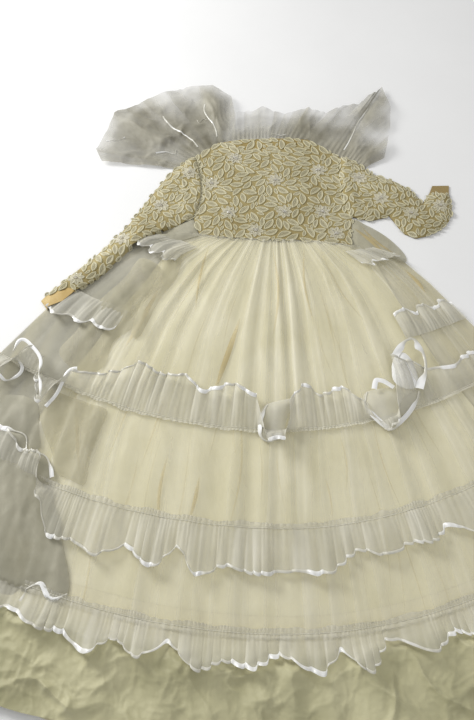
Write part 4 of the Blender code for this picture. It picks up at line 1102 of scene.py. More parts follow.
def ruffle_heading(name, seam_drop, across, seam_x, phase, seed, heading, names):
    """Narrow frill on the other side of a ruffle's seam."""
    side = -1.0 if heading < 0.0 else 1.0
    rows = np.linspace(0.0, 1.0, HEADING_ROWS)[:, None]
    frills = ripple(FRILL_TURNS * phase)
    tall = abs(heading) * (0.45 + 0.75 * cloud(seam_x * 48.0, np.zeros(len(across)), seed + 9, 2))
    drop = seam_drop - side * tall * rows
    x, y = skirt_point(drop, np.broadcast_to(across, drop.shape))
    x = x + 0.0016 * np.sin(FRILL_TURNS * phase) * rows
    below = blurred(spread(support.height(x, y, names), 2), 1, 1)
    z = below + SEAM_GAP + SHEER_WALL / 2.0 + 0.0010 + 0.0035 * frills * rows + 0.001 * rows
    points = np.stack([x, y, z], axis=-1)
    head = grid_piece(f"{name}_heading", points, MATERIALS["ruffle_organza"], HEADING_COVER, 0.45)
    return hang_on(head)


def ruffle_stitching(name, seam_line, phase):
    line = seam_line.copy()
    line[:, 2] += STITCH_LIFT + STITCH_WAVE * np.cos(FRILL_TURNS * phase)
    seam = tube(f"{name}_stitching", line, STITCH_RADIUS, STITCH_SIDES, MATERIALS["thread"])
    return hang_on(seam)


def ruffle(name, seam_drop, across, reach, lift, waves, seed, heading, names, density=RUFFLE_COVER):
    """Gathered ruffle, its satin ribbon and the narrow heading above its stitching."""
    columns = len(across)
    share = np.linspace(0.0, 1.0, PROFILE_STEPS + 1)[:, None]
    seam_x, _ = skirt_point(np.full(columns, seam_drop), across)
    sway = 0.35 * np.sin(0.9 * waves * np.linspace(0.0, 1.0, columns) + seed)
    wobble = 2.2 * (cloud(seam_x * 11.0, np.zeros(columns), seed, 3) - 0.5)
    phase = TAU * (waves * np.linspace(0.0, 1.0, columns) + sway + wobble)
    flute = ripple(phase)
    pleat = ripple(PLEAT_TURNS * phase + 1.0)
    deep = 0.55 + 0.9 * cloud(seam_x * 17.0, np.zeros(columns), seed + 5, 2)
    drop = seam_drop - reach * share + 0.0028 * np.sin(phase + 0.8) * deep * share ** 1.5
    x, y = skirt_point(drop, np.broadcast_to(across, drop.shape))
    x = x + 0.0030 * np.sin(phase) * deep * share
    below = support.height(x, y, names)
    below = blurred(spread(below, 2), 2, 1)
    clear = SEAM_GAP + REST_MARGIN * np.minimum(1.0, share / SEAM_SETTLE)
    swell = np.sin(np.minimum(1.0, share / CREST_SHARE) * np.pi / 2.0)
    frill = PLEAT_HEIGHT * pleat * (1.0 - 0.6 * share) + FLUTE_HEIGHT * flute * deep * share
    doubled = 0.7 * bands(seam_x, 21.0, seed + 31) + 0.3 * bands(seam_x, 55.0, seed + 37)
    frill = frill + DOUBLED_HEIGHT * doubled * share ** 0.6
    z = below + clear + SHEER_WALL / 2.0 + lift * swell + frill
    profile = np.stack([x, y, z], axis=-1)
    full = run_of(profile)
    slope = np.abs(np.gradient(reach)) / np.maximum(np.abs(np.gradient(seam_x)), 1e-5)
    turned = eased((slope - 0.35) / 0.9)
    # Where the ribbon lies flat and faces up it is drawn wider and given a painted highlight; shine carries
    # both
    flash = noise(seam_x * 34.0, seam_x * 0.0, seed + 21)
    shine = blurred((1.0 - 0.8 * turned) * eased((flash - 0.42) / 0.16), 3, 0)
    ribbon = np.minimum(RIBBON_WIDTH * (0.62 + 0.38 * shine) * (1.0 - 0.35 * turned), 0.42 * full)
    cloth_shares = np.linspace(0.0, 1.0, RUFFLE_ROWS)[:, None] * (full - ribbon + 0.001)
    surface = resample(profile, cloth_shares)
    cover = density + 0.34 * np.broadcast_to(doubled, surface.shape[:2])
    body = grid_piece(f"{name}_organza", surface, MATERIALS["ruffle_organza"], cover, 0.7)
    hang_on(body, [f"{name}_ruffle"])
    support.add_grid(name, surface)
    extras = [ruffle_ribbon(name, profile, full, ribbon, phase, shine, seed)]
    if heading:
        extras.append(ruffle_heading(name, seam_drop, across, seam_x, phase, seed, heading, names))
        extras.append(ruffle_stitching(name, surface[0], phase))
    return body, extras


def lengths_along(line):
    """Length from the start of a line to each of its points."""
    return np.concatenate([[0.0], np.cumsum(np.linalg.norm(np.diff(line, axis=0), axis=1))])


def unit(vectors):
    return vectors / np.maximum(np.linalg.norm(vectors, axis=1, keepdims=True), TINY)


def tube(name, line, radius, sides, material):
    """Round cord along a line of points."""
    along = unit(np.gradient(line, axis=0))
    side = unit(np.cross(along, np.array([0.0, 0.0, 1.0])))
    over = np.cross(side, along)
    turns = TAU * np.arange(sides) / sides
    sideways = np.cos(turns)[None, :, None] * side[:, None, :]
    upwards = np.sin(turns)[None, :, None] * over[:, None, :]
    points = line[:, None, :] + radius * (sideways + upwards)
    faces = [list(f) for f in grid_faces(len(line), sides, True)]
    last = (len(line) - 1) * sides
    faces.append(list(range(sides)))
    faces.append([last + k for k in reversed(range(sides))])
    run = lengths_along(line)
    uv = np.stack([np.repeat(run, sides), np.tile(turns * radius, len(line))], axis=-1)
    return make_piece(name, points.reshape(-1, 3), faces, [material], uv)


def tier(name, drop, lobes, waves, seed, heading, flat):
    xs = column(lobes, LOBE_COLUMNS, "x")
    place = np.linspace(0.0, len(xs) - 1.0, TIER_COLUMNS)
    x = np.interp(place, np.arange(len(xs)), xs)
    reach = smooth_between(x, xs, column(lobes, LOBE_COLUMNS, "reach"))
    lift = smooth_between(x, xs, column(lobes, LOBE_COLUMNS, "lift"))
    across = np.clip(x / half_width(drop, x), -0.997, 0.997)
    names = ["sheer", "back", "flounce"]
    body, extras = ruffle(name, drop, across, reach, lift, waves, seed, heading, names)
    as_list(extras)


def side_ruffle(row, seed):
    side = dict(zip(SIDE_COLUMN_NAMES, row))
    share = np.linspace(0.0, 1.0, SIDE_COLUMNS)
    across = side["start"] + (side["end"] - side["start"]) * share
    outer = share if side["start"] > 0 else 1.0 - share
    full_reach = side["inner_reach"] + (side["outer_reach"] - side["inner_reach"]) * outer
    scallop = 0.5 - 0.5 * np.cos(TAU * SIDE_LOBES * share)
    reach = full_reach * (1.0 - SIDE_SCALLOP * (1.0 - scallop))
    lift = SIDE_LIFT * (SIDE_LEAST_LIFT + (1.0 - SIDE_LEAST_LIFT) * scallop)
    under = ["sheer", "back"]
    body, extras = ruffle(
        side["name"], side["drop"], across, reach, lift, SIDE_WAVES, seed, 0.0, under, SIDE_COVER,
    )
    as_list(extras)


# Outlines and lace

def smooth_line(points, step, corners=()):
    line = [points[0]]
    for i in range(len(points) - 1):
        a, b = np.array(points[i]), np.array(points[i + 1])
        before = a if i == 0 or points[i] in corners else np.array(points[i - 1])
        after = b if i + 2 == len(points) or points[i + 1] in corners else np.array(points[i + 2])
        pieces = max(1, round(float(np.linalg.norm(b - a)) / step))
        for k in range(1, pieces + 1):
            t = k / pieces
            slope_a, slope_b = (b - before) / 2.0, (after - a) / 2.0
            place = (2 * t**3 - 3 * t**2 + 1) * a + (t**3 - 2 * t**2 + t) * slope_a
            place = place + (3 * t**2 - 2 * t**3) * b + (t**3 - t**2) * slope_b
            line.append(tuple(float(v) for v in place))
    return line


def edges_of(outline):
    return zip(outline, [*outline[1:], outline[0]])


def inside(x, y, outline):
    crossings = np.zeros(np.shape(x), int)
    for (ax, ay), (bx, by) in edges_of(outline):
        if ay == by:
            continue
        cut = ((ay > y) != (by > y)) & (x < ax + (y - ay) * (bx - ax) / (by - ay))
        crossings += cut
    return crossings % 2 == 1


def edge_distance(x, y, outline):
    nearest = np.full(np.shape(x), np.inf)
    for (ax, ay), (bx, by) in edges_of(outline):
        length = (bx - ax) ** 2 + (by - ay) ** 2
        if length < 1e-14:
            continue
        share = np.clip(((x - ax) * (bx - ax) + (y - ay) * (by - ay)) / length, 0.0, 1.0)
        nearest = np.minimum(nearest, np.hypot(x - ax - share * (bx - ax), y - ay - share * (by - ay)))
    return nearest


def finer(outline, step):
    out = []
    for a, b in edges_of(outline):
        pieces = max(1, round(math.dist(a, b) / step))
        out += [(a[0] + (b[0] - a[0]) * k / pieces, a[1] + (b[1] - a[1]) * k / pieces) for k in range(pieces)]
    return out


def panel(name, outline, pitch, height, material, shares=None):
    """Sheet of cloth cut to an outline, with its height and its shares given over the panel."""
    rim = finer(outline, pitch)
    low, high = np.min(rim, axis=0), np.max(rim, axis=0)
    gx, gy = np.meshgrid(np.arange(low[0], high[0], pitch), np.arange(low[1], high[1], pitch))
    gx = gx + (np.arange(gx.shape[0])[:, None] % 2) * pitch / 2.0
    keep = inside(gx, gy, rim)
    keep[keep] = edge_distance(gx[keep], gy[keep], rim) > 0.45 * pitch
    points = rim + list(zip(gx[keep], gy[keep]))
    edges = [(i, (i + 1) % len(rim)) for i in range(len(rim))]
    verts, _, faces, _, _, _ = delaunay_2d_cdt([Vector(p) for p in points], edges, [], 1, 1e-7)
    flat = np.array([tuple(v) for v in verts])
    z = height(flat[:, 0], flat[:, 1])
    solid = np.column_stack([flat, z])
    values = {key: share(flat[:, 0], flat[:, 1]) for key, share in (shares or {}).items()}
    return make_piece(name, solid, faces, [material], flat, values), solid, faces


def closed_line(points, step):
    return smooth_line([*points, points[0]], step)[:-1]


def edge_ribbon(name, points, width, height, seed, dullness=0.45):
    """Satin ribbon along a line, on the left of its run. It turns over, so only parts of it face up, and
    those parts get a painted highlight.
    """
    line = np.array(smooth_line(points, 0.005))
    along = unit(np.gradient(line, axis=0))
    side = np.column_stack([-along[:, 1], along[:, 0]])
    run = lengths_along(line)
    flash = noise(run * 30.0, run * 0.0, seed)
    turn = blurred(eased((flash - dullness) / 0.2), 2, 0)
    seen = width * (0.35 + 0.65 * turn)
    rows = []
    for step in np.linspace(0.0, 1.0, 5):
        place = line + side * (seen * step)[:, None]
        z = height(place[:, 0], place[:, 1]) + 0.0012 + 0.0014 * math.sin(math.pi * step)
        rows.append(np.column_stack([place, z + 0.0015 * turn * step]))
    # Painted highlight where the ribbon turns up
    shares = {"ribbon_painted_highlight": np.tile(turn, (5, 1)).reshape(-1)}
    return hang_on(grid_piece(name, np.array(rows), MATERIALS["satin"], shares=shares))


def level(z):
    """Height of a flat place, as a function of where it is."""
    return lambda x, y: z + 0.0 * x


def flop(name, points, dome, run, cover, seed, ribbons=(), warm=None):
    """Loose lobe of cloth, with ribbons along parts of its edge. A grey one lies flat, with a warm share."""
    outline = closed_line(points, FLOP_EDGE_STEP)
    seat = float(np.percentile(support.height(*np.array(outline).T), FLOP_SEAT_RANK))
    raised = warm is None
    material = "ruffle_organza" if raised else "side_organza"

    def height(x, y):
        rise = np.minimum(1.0, edge_distance(x, y, outline) / run)
        wrinkle = FLOP_WRINKLE * creased(x * 23.0, y * 17.0, seed, 2) * rise
        under = seat if raised else support.height(x, y, ["sheer", "back"])
        return under + FLOP_CLEAR + dome * (1.0 - (1.0 - rise) ** 2) + wrinkle

    def sheer_share(x, y):
        streak = creased(x * 26.0, y * 9.0, seed + 2, 2)
        return np.clip(cover + 0.34 * (streak - 0.4), 0.05, 0.95)

    shares = {"sheer_cover": sheer_share, "warm_share": level(warm or 0.0)}
    obj, solid, faces = panel(name, outline, FLOP_PITCH, height, MATERIALS[material], shares)
    support.add_mesh(name, solid, faces)
    hang_on(obj)
    trims = [
        edge_ribbon(f"{name}_ribbon_{number}", line, RIBBON_WIDTH, height, seed + 40 + number)
        for number, line in enumerate(ribbons, 1)
    ]


def satin_loop():
    """Twisted satin end over the first tier: an oval, the band round it and a small flap."""
    outline = closed_line(SATIN_OVAL, 0.006)

    def height(x, y):
        rise = np.minimum(1.0, edge_distance(x, y, outline) / LOOP_ROUNDING)
        crease = LOOP_CREASE * creased(x * 60.0 - 20.0 * y, y * 18.0, 511, 2)
        return LOOP_SEAT + LOOP_DOME * (1.0 - (1.0 - rise) ** 2) + crease

    # Painted highlight over most of the satin, painted darker along its creases as shade
    def shine(x, y):
        return np.clip(0.95 - 0.5 * creased(x * 50.0, y * 14.0, 513, 2) ** 2, 0.0, 1.0)

    obj, _, _ = panel("loop_satin", outline, LOOP_PITCH, height, MATERIALS["satin"], {"ribbon_painted_highlight": shine})
    hang_on(obj)
    rims = [
        edge_ribbon("loop_rim", LOOP_BAND, -LOOP_BAND_WIDTH, height, 515, 0.50),
        # The flap's low dullness gives nearly all of it the painted highlight
        edge_ribbon("loop_flap", WHITE_FLAP, -LOOP_FLAP_WIDTH, height, 517, 0.10),
    ]


def loose_lobes():
    """Cloth beside the bodice and over the left side, and the lobes that flop over the first tier."""
    flop("waist_left_organza", WAIST_LEFT, 0.003, 0.02, 0.86, 501, warm=0.15)
    flop("waist_right_organza", WAIST_RIGHT, 0.0015, 0.02, 0.72, 503, warm=0.30)
    flop("left_veil_organza", LEFT_VEIL, 0.002, 0.03, 0.42, 506, warm=0.45)
    flop("left_fold_organza", LEFT_FOLD, 0.003, 0.02, 0.40, 508, warm=0.60)
    flop("left_drape_organza", LEFT_DRAPE, 0.002, 0.03, 0.40, 512, warm=0.50)
    flop("left_edge_organza", LEFT_EDGE, 0.002, 0.03, 0.66, 514, warm=0.10)
    flop("overlay_organza", OVERLAY, 0.003, 0.03, 0.80, 505, OVERLAY_RIBBONS, 0.10)
    flop("lobe_middle", LOBE_MIDDLE, 0.009, 0.03, 0.50, 507, (LOBE_MIDDLE[1:6],))
    flop("lobe_right", LOBE_RIGHT, 0.010, 0.04, 0.46, 509, (LOBE_RIGHT[1:8],))
    for number, line in enumerate(CURL_RIBBONS, 1):
        seat = float(np.percentile(support.height(*np.array(line).T), 70)) + CURL_RIBBON_LIFT
        edge_ribbon(f"left_curl_ribbon_{number}", line, CURL_RIBBON_WIDTH, level(seat), 530 + number, 0.3)
    satin_loop()


def leaf_rings(length, width, cord):
    """Local outlines and heights of a corded leaf, from its edge to its vein."""
    a, b = length / 2.0, width / 2.0
    return (
        (a, b, -0.0003),
        (a, b, 0.55 * cord),
        (a - 0.45 * cord, b - 0.35 * cord, cord),
        (a - 1.5 * cord, b - 1.15 * cord, 0.95 * cord),
        (a - 2.1 * cord, b - 1.6 * cord, 0.35 * cord),
        (0.62 * a, 0.34 * b, 0.75 * cord),
        (0.50 * a, 0.05 * b, 0.35 * cord),
    )


def new_store():
    return {"xy": [], "rise": [], "uv": [], "faces": [], "kinds": [], "count": 0}


def add_leaf(store, centre, angle, size, bend, kinds):
    """Corded leaf. Its kinds are the cloths of its rim and of its middle."""
    length, width, cord = size
    turn = TAU * np.arange(LEAF_POINTS) / LEAF_POINTS
    rings = leaf_rings(length, width, cord)
    start = store["count"]
    c, s = math.cos(angle), math.sin(angle)
    for a, b, rise in rings:
        a, b = max(a, 0.0005), max(b, 0.0002)
        px = a * np.cos(turn)
        py = b * np.sin(turn) * np.abs(np.sin(turn)) ** 0.75
        bowed = py + bend * ((px / (length / 2.0)) ** 2 - 0.35)
        x = centre[0] + px * c - bowed * s
        y = centre[1] + px * s + bowed * c
        store["xy"].append(np.column_stack([x, y]))
        store["rise"].append(np.full(LEAF_POINTS, rise))
        store["uv"].append(np.column_stack([px, py]))
    store["faces"].append(grid_faces(len(rings), LEAF_POINTS, True) + start)
    row_kind = [kinds[0]] * 4 + [kinds[1]] * 2
    store["kinds"].append(np.repeat(row_kind, LEAF_POINTS))
    store["count"] += len(rings) * LEAF_POINTS


def lace_piece(name, store, height):
    xy = np.concatenate(store["xy"])
    verts = np.column_stack([xy, height(xy[:, 0], xy[:, 1]) + np.concatenate(store["rise"])])
    faces, kinds, uv = (np.concatenate(store[key]) for key in ("faces", "kinds", "uv"))
    cloths = [MATERIALS[key] for key in LACE_CLOTHS]
    obj = make_piece(name, verts, faces, cloths, uv, None, kinds)
    return hang_on(obj)


class Room:
    """Raster of the free places of a lace panel."""

    def __init__(self, outline, overhang):
        self.low = np.min(outline, axis=0) - ROOM_MARGIN
        high = np.max(outline, axis=0) + ROOM_MARGIN
        self.shape = tuple(int(v) for v in np.ceil((high - self.low) / RASTER))
        x = self.low[0] + RASTER * np.arange(self.shape[0])[:, None]
        y = self.low[1] + RASTER * np.arange(self.shape[1])[None, :]
        self.x, self.y = np.broadcast_arrays(x, y)
        within = inside(self.x, self.y, outline)
        near = edge_distance(self.x, self.y, outline)
        self.free = (within | (near < overhang)).ravel()
        self.kept = {}

    def limit(self, region):
        self.free &= region(self.x, self.y).ravel()

    def cell(self, place):
        i = round((place[0] - self.low[0]) / RASTER)
        j = round((place[1] - self.low[1]) / RASTER)
        return i * self.shape[1] + j

    def steps(self, step, length, width):
        """Cells that a leaf covers, counted from the cell of its middle."""
        key = (step, length, width)
        if key not in self.kept:
            a, b = length / 2.0, width / 2.0
            pitch = RASTER * 0.8
            px, py = np.meshgrid(np.arange(-a, a + RASTER, pitch), np.arange(-b, b + RASTER, pitch))
            keep = np.abs(py) <= b * np.clip(1.0 - (px / a) ** 2, 0.0, 1.0) ** 0.9
            px, py = px[keep], py[keep]
            c, s = math.cos(step * TURN_STEP), math.sin(step * TURN_STEP)
            i = np.round((px * c - py * s) / RASTER).astype(int)
            j = np.round((px * s + py * c) / RASTER).astype(int)
            self.kept[key] = np.unique(i * self.shape[1] + j)
        return self.kept[key]

    def take(self, place, angle, length, width, gap):
        cell = self.cell(place)
        if not self.free[cell]:
            return False
        step = round(angle / TURN_STEP) % TURN_STEPS
        if not self.free[cell + self.steps(step, length, width)].all():
            return False
        self.free[cell + self.steps(step, length + 1.2 * gap, width + gap)] = False
        return True


def add_flower(store, room, rng, flower, leaf_size):
    """Ring of petals, and a ring of leaves outside it where there is room."""
    x, y, turn = flower
    for k in range(PETALS):
        angle = TAU * (k + turn) / PETALS
        place = (x + PETAL_RING * math.cos(angle), y + PETAL_RING * math.sin(angle))
        add_leaf(store, place, angle, PETAL_SIZE, 0.0, PETAL_KINDS)
    length, width = leaf_size
    radius = RING_START + 0.5 * length
    for k in range(RING_LEAVES):
        angle = TAU * (k + turn) / RING_LEAVES
        place = (x + radius * math.cos(angle), y + radius * math.sin(angle))
        for swirl in RING_SWIRLS:
            if room.take(place, angle + swirl, length, width, RING_GAP):
                bend = rng.uniform(-RING_BEND, RING_BEND)
                add_leaf(store, place, angle + swirl, (length, width, CORD), bend, LEAF_KINDS)
                break


def lace_spots(outline):
    """Close grid of places over an outline."""
    low, high = np.min(outline, axis=0), np.max(outline, axis=0)
    return [
        (low[0] - LACE_RIM + LACE_STEP * i, low[1] - LACE_RIM + LACE_STEP * j)
        for i in range(int((high[0] - low[0] + 2.0 * LACE_RIM) / LACE_STEP))
        for j in range(int((high[1] - low[1] + 2.0 * LACE_RIM) / LACE_STEP))
    ]


def lace(name, outline, centres, height, seed, overhang, region=None, sizes=LEAF_SIZES):
    """Flowers with a ring of leaves round each one, and smaller leaves between them."""
    rng = np.random.default_rng(seed)
    room = Room(outline, overhang)
    if region is not None:
        room.limit(region)
    store = new_store()
    flowers = []
    for x, y in centres:
        if room.take((x, y), 0.0, FLOWER_SIZE, FLOWER_SIZE, FLOWER_GAP):
            flowers.append((x, y, rng.uniform(0.0, 1.0)))
    for flower in flowers:
        add_flower(store, room, rng, flower, sizes[0])
    spots = lace_spots(outline)
    x, y = np.array(spots).T
    lean = 5.0 * math.pi * cloud(x * 9.0, y * 9.0, seed + 3, 2)
    for length, width in sizes:
        cord = CORD if length > LARGE_LEAF else FINE_CORD
        for g in rng.permutation(len(spots)):
            if not room.free[room.cell(spots[g])]:
                continue
            scale = LEAF_SCALES[g % len(LEAF_SCALES)]
            size = (length * scale, width * scale)
            for turn in LEAF_TURNS:
                angle = float(lean[g] + turn)
                if room.take(spots[g], angle, *size, LEAF_GAP):
                    bend = rng.uniform(-LEAF_BEND, LEAF_BEND) * length
                    add_leaf(store, spots[g], angle, (*size, cord), bend, LEAF_KINDS)
                    break
    return lace_piece(name, store, height), flowers


def ball_ring(radius):
    """Small faceted bead, as points and faces."""
    verts, faces = [(0.0, 0.0, radius)], []
    rings, sides = BEAD_RINGS, BEAD_SIDES
    for r in range(1, rings + 1):
        tilt = math.pi * r / (rings + 1)
        for k in range(sides):
            turn = TAU * k / sides
            verts.append((
                radius * math.sin(tilt) * math.cos(turn), radius * math.sin(tilt) * math.sin(turn),
                radius * math.cos(tilt),
            ))
    verts.append((0.0, 0.0, -radius))
    for k in range(sides):
        faces.append((0, 1 + k, 1 + (k + 1) % sides))
        for r in range(rings - 1):
            a = 1 + r * sides
            faces.append((a + k, a + sides + k, a + sides + (k + 1) % sides, a + (k + 1) % sides))
        last = 1 + (rings - 1) * sides
        faces.append((last + (k + 1) % sides, last + k, len(verts) - 1))
    return np.array(verts), faces


def beads(name, places, height, radius):
    verts, faces, uv = [], [], []
    ball, ball_faces = ball_ring(radius)
    for n, (x, y, size) in enumerate(places):
        z = float(height(np.array([x]), np.array([y]))[0]) + BEAD_LIFT
        start = n * len(ball)
        verts.append(ball * size + np.array([x, y, z]))
        uv.append(ball[:, :2] + np.array([x, y]))
        faces += [tuple(start + i for i in f) for f in ball_faces]
    obj = make_piece(name, np.concatenate(verts), faces, [MATERIALS["pearl"]], np.concatenate(uv))
    return hang_on(obj)


def flower_beads(flowers, seed, count):
    """Bead clusters in the flowers, the first flower's one being the fullest."""
    rng = np.random.default_rng(seed)
    places = []
    for number, (x, y, turn) in enumerate(flowers):
        places.append((x, y, MIDDLE_BEAD_SIZE))
        for k in range(RING_BEADS):
            angle = TAU * (k + turn) / RING_BEADS
            places.append((x + BEAD_RING * math.cos(angle), y + BEAD_RING * math.sin(angle), RING_BEAD_SIZE))
        for _ in range(count * 2 if number == 0 else count):
            angle, radius = rng.uniform(0.0, TAU), rng.uniform(*LOOSE_BEAD_RANGE)
            places.append((x + radius * math.cos(angle), y + radius * math.sin(angle), rng.uniform(0.6, 1.0)))
    return places


def bodice_dome(x, y):
    across = (x - BODICE_CENTRE[0]) / BODICE_HALF_SIZE[0]
    along = (y - BODICE_CENTRE[1]) / BODICE_HALF_SIZE[1]
    rise = BODICE_DOME * np.maximum(0.0, 1.0 - across * across) * np.maximum(0.0, 1.0 - along * along)
    return BODICE_FRONT_LOW + rise


def above_waist(x, y):
    """Distance above the waist seam, along Y."""
    left, right = SECTIONS["left_y"][0], SECTIONS["right_y"][0]
    half = np.where(x < 0.0, SECTIONS["left_x"][0], SECTIONS["right_x"][0])
    return y - np.where(x < 0.0, left, right) * (x / half) ** 2


def bodice_height(x, y):
    hem = BODICE_HEM_RISE * np.exp(-np.maximum(0.0, above_waist(x, y)) / BODICE_HEM_RUN)
    crease = BODICE_CREASE * (creased(x * 13.0, y * 13.0, 91, 2) - 0.3)
    return bodice_dome(x, y) + 0.5 * LACE_WALL + hem + crease


def waist_line(steps=24):
    across = np.linspace(-1.0, 1.0, steps + 1)
    x, y = skirt_point(np.zeros(steps + 1), across)
    return [(float(px), float(py) + 2.0 * SEAM_GAP) for px, py in zip(x, y)]


def bodice():
    waist = waist_line()
    left_side = smooth_line(ARMHOLE_LEFT, BODICE_STEP)
    right_side = smooth_line(ARMHOLE_RIGHT, BODICE_STEP)
    back_neck = smooth_line(BACK_NECKLINE, BODICE_STEP)
    front_neck = smooth_line(FRONT_NECKLINE, BODICE_STEP)
    whole_back = [*waist, *right_side, *reversed(back_neck), *reversed(left_side)]
    back_height = level(0.5 * LACE_WALL)
    back_cloth = MATERIALS["back_ground"]
    obj, _, _ = panel("bodice_back_cloth", whole_back, BODICE_BACK_PITCH, back_height, back_cloth)
    hang_on(obj, ["bodice_back_left", "bodice_back_right"])
    front = [*waist, *right_side, *reversed(front_neck), *reversed(left_side)]

    def above_front(x, y):
        return ~inside(x, y, front)

    lace("bodice_back_leaves", whole_back, (), back_height, 5, BACK_OVERHANG, above_front)
    obj, _, _ = panel("bodice_front_cloth", front, BODICE_FRONT_PITCH, bodice_height, MATERIALS["ground"])
    hang_on(obj, ["bodice_front"])
    leaves, flowers = lace("bodice_front_leaves", front, FRONT_FLOWERS, bodice_height, 7, FRONT_OVERHANG)
    dots = beads("bodice_beads", flower_beads(flowers, 3, 16), bodice_height, BODICE_BEAD)


def sleeve(name, armhole, edges, corners, lace_end, plain_end, centres, away, seed, plain, sizes):
    outer, inner = edges
    seam = [(x + away, y) for x, y in smooth_line(armhole, SLEEVE_STEP)]
    outer = smooth_line([seam[-1], *outer], SLEEVE_STEP, corners)[1:]
    inner = smooth_line([*inner, seam[0]], SLEEVE_STEP, corners)[:-1]
    whole = [*seam, *outer, *plain_end, *inner]
    lace_outline = [*seam, *outer, *lace_end, *inner]
    wrist = [outer[-1], *plain_end, inner[0], *reversed(lace_end)]
    node = f"{name}_under"
    support.add_node(node)

    def under_top(x, y):
        direct = support.height(x, y, [node])
        return np.where(direct > 0.0, direct, LACE_WALL)

    def under_height(x, y):
        return under_top(x, y) - 0.5 * LACE_WALL

    def lace_height(x, y):
        rise = 1.0 - np.minimum(1.0, edge_distance(x, y, lace_outline) / SLEEVE_ROUNDING)
        wrinkle = SLEEVE_CREASE * creased(x * 21.0, y * 21.0, seed, 2) * (1.0 - rise)
        return under_top(x, y) + SEAM_GAP + 0.5 * LACE_WALL + SLEEVE_DOME * (1.0 - rise * rise) + wrinkle

    def wrist_height(x, y):
        return under_top(x, y) + SEAM_GAP + 0.0006

    back_cloth = MATERIALS["back_ground"]
    obj, _, _ = panel(f"{name}_under_cloth", whole, SLEEVE_UNDER_PITCH, under_height, back_cloth)
    hang_on(obj, [f"{name}_under"])
    top, pitch = f"{name}_top", SLEEVE_TOP_PITCH
    obj, _, _ = panel(f"{top}_cloth", lace_outline, pitch, lace_height, MATERIALS["ground"])
    hang_on(obj, [top])
    leaves, flowers = lace(
        f"{name}_leaves", lace_outline, centres, lace_height, seed, SLEEVE_OVERHANG, None, sizes,
    )
    dots = beads(f"{name}_beads", flower_beads(flowers, seed, 9), lace_height, SLEEVE_BEAD)
    obj, _, _ = panel(f"{name}_wrist_cloth", wrist, WRIST_PITCH, wrist_height, plain)
    hang_on(obj, [f"{name}_wrist"])
    return obj


def seam_leaves():
    """Leaves sewn over the armhole seam at the left, on both sides of it."""
    rng = np.random.default_rng(29)
    store = new_store()
    for x, y in smooth_line(ARMHOLE_LEFT, SEAM_LEAF_STEP)[1:-1]:
        angle = rng.uniform(0.0, math.pi)
        place = (x + rng.uniform(-0.004, 0.004), y)
        add_leaf(store, place, angle, SEAM_LEAF_SIZE, rng.uniform(-0.003, 0.003), LEAF_KINDS)
    lace_piece("armhole_leaves", store, level(SEAM_LEAF_LOW))


def sleeves():
    seam_leaves()
    cuff = sleeve(
        "sleeve_left", ARMHOLE_LEFT, (SLEEVE_LEFT_OUTER, SLEEVE_LEFT_INNER), (), LACE_END_LEFT,
        FACING_END_LEFT, LEFT_SLEEVE_FLOWERS, -SEAM_GAP, 13, MATERIALS["facing"],
        LEAF_SIZES[1:],
    )
    band = sleeve(
        "sleeve_right", ARMHOLE_RIGHT, (SLEEVE_RIGHT_OUTER, SLEEVE_RIGHT_INNER), ELBOW_CORNERS, (),
        BAND_END_RIGHT, RIGHT_SLEEVE_FLOWERS, SEAM_GAP, 17, MATERIALS["band"],
        SHOULDER_LEAF_SIZES,
    )


# Cape

def cape_seam():
    left = smooth_line([ARMHOLE_LEFT[-1], *SLEEVE_LEFT_OUTER], SLEEVE_STEP)
    right = smooth_line([ARMHOLE_RIGHT[-1], *SLEEVE_RIGHT_OUTER], SLEEVE_STEP, ELBOW_CORNERS)
    line = [*reversed(left[:CAPE_SLEEVE_POINTS]), *smooth_line(BACK_NECKLINE, BODICE_STEP)]
    line += right[:CAPE_SLEEVE_POINTS]
    finer_line = []
    for a, b in zip(line, line[1:]):
        pieces = max(1, round(math.dist(a, b) / CAPE_STEP))
        finer_line += [tuple(np.array(a) + (np.array(b) - np.array(a)) * k / pieces) for k in range(pieces)]
    finer_line.append(line[-1])
    moved = []
    for i, p in enumerate(finer_line):
        before = np.array(finer_line[max(i - 1, 0)])
        after = np.array(finer_line[min(i + 1, len(finer_line) - 1)])
        along = (after - before) / np.linalg.norm(after - before)
        moved.append((p[0] - along[1] * 2.5 * SEAM_GAP, p[1] + along[0] * 2.5 * SEAM_GAP))
    return np.array(moved)


CAPE_TABLE = {name: column(CAPE_STATIONS, STATION_COLUMNS, name) for name in STATION_COLUMNS}


def cape_points(seam, place, share):
    run = lengths_along(seam)
    out = []
    for axis, name in enumerate(("x", "y")):
        at_seam = np.interp(place * run[-1], run, seam[:, axis])
        at_edge = smooth_between(place, CAPE_TABLE["place"], CAPE_TABLE[name])
        at_edge = 0.5 * at_edge + 0.5 * np.interp(place, CAPE_TABLE["place"], CAPE_TABLE[name])
        out.append(at_seam + (at_edge - at_seam) * share)
    lift = smooth_between(place, CAPE_TABLE["place"], CAPE_TABLE["lift"])
    z = SHEER_WALL / 2.0 + lift * share * (1.6 - 0.6 * share)
    return out[0], out[1] - CAPE_LEAN * z * share, z


def cape_height(x, y):
    return support.height(x, y, ["cape"])


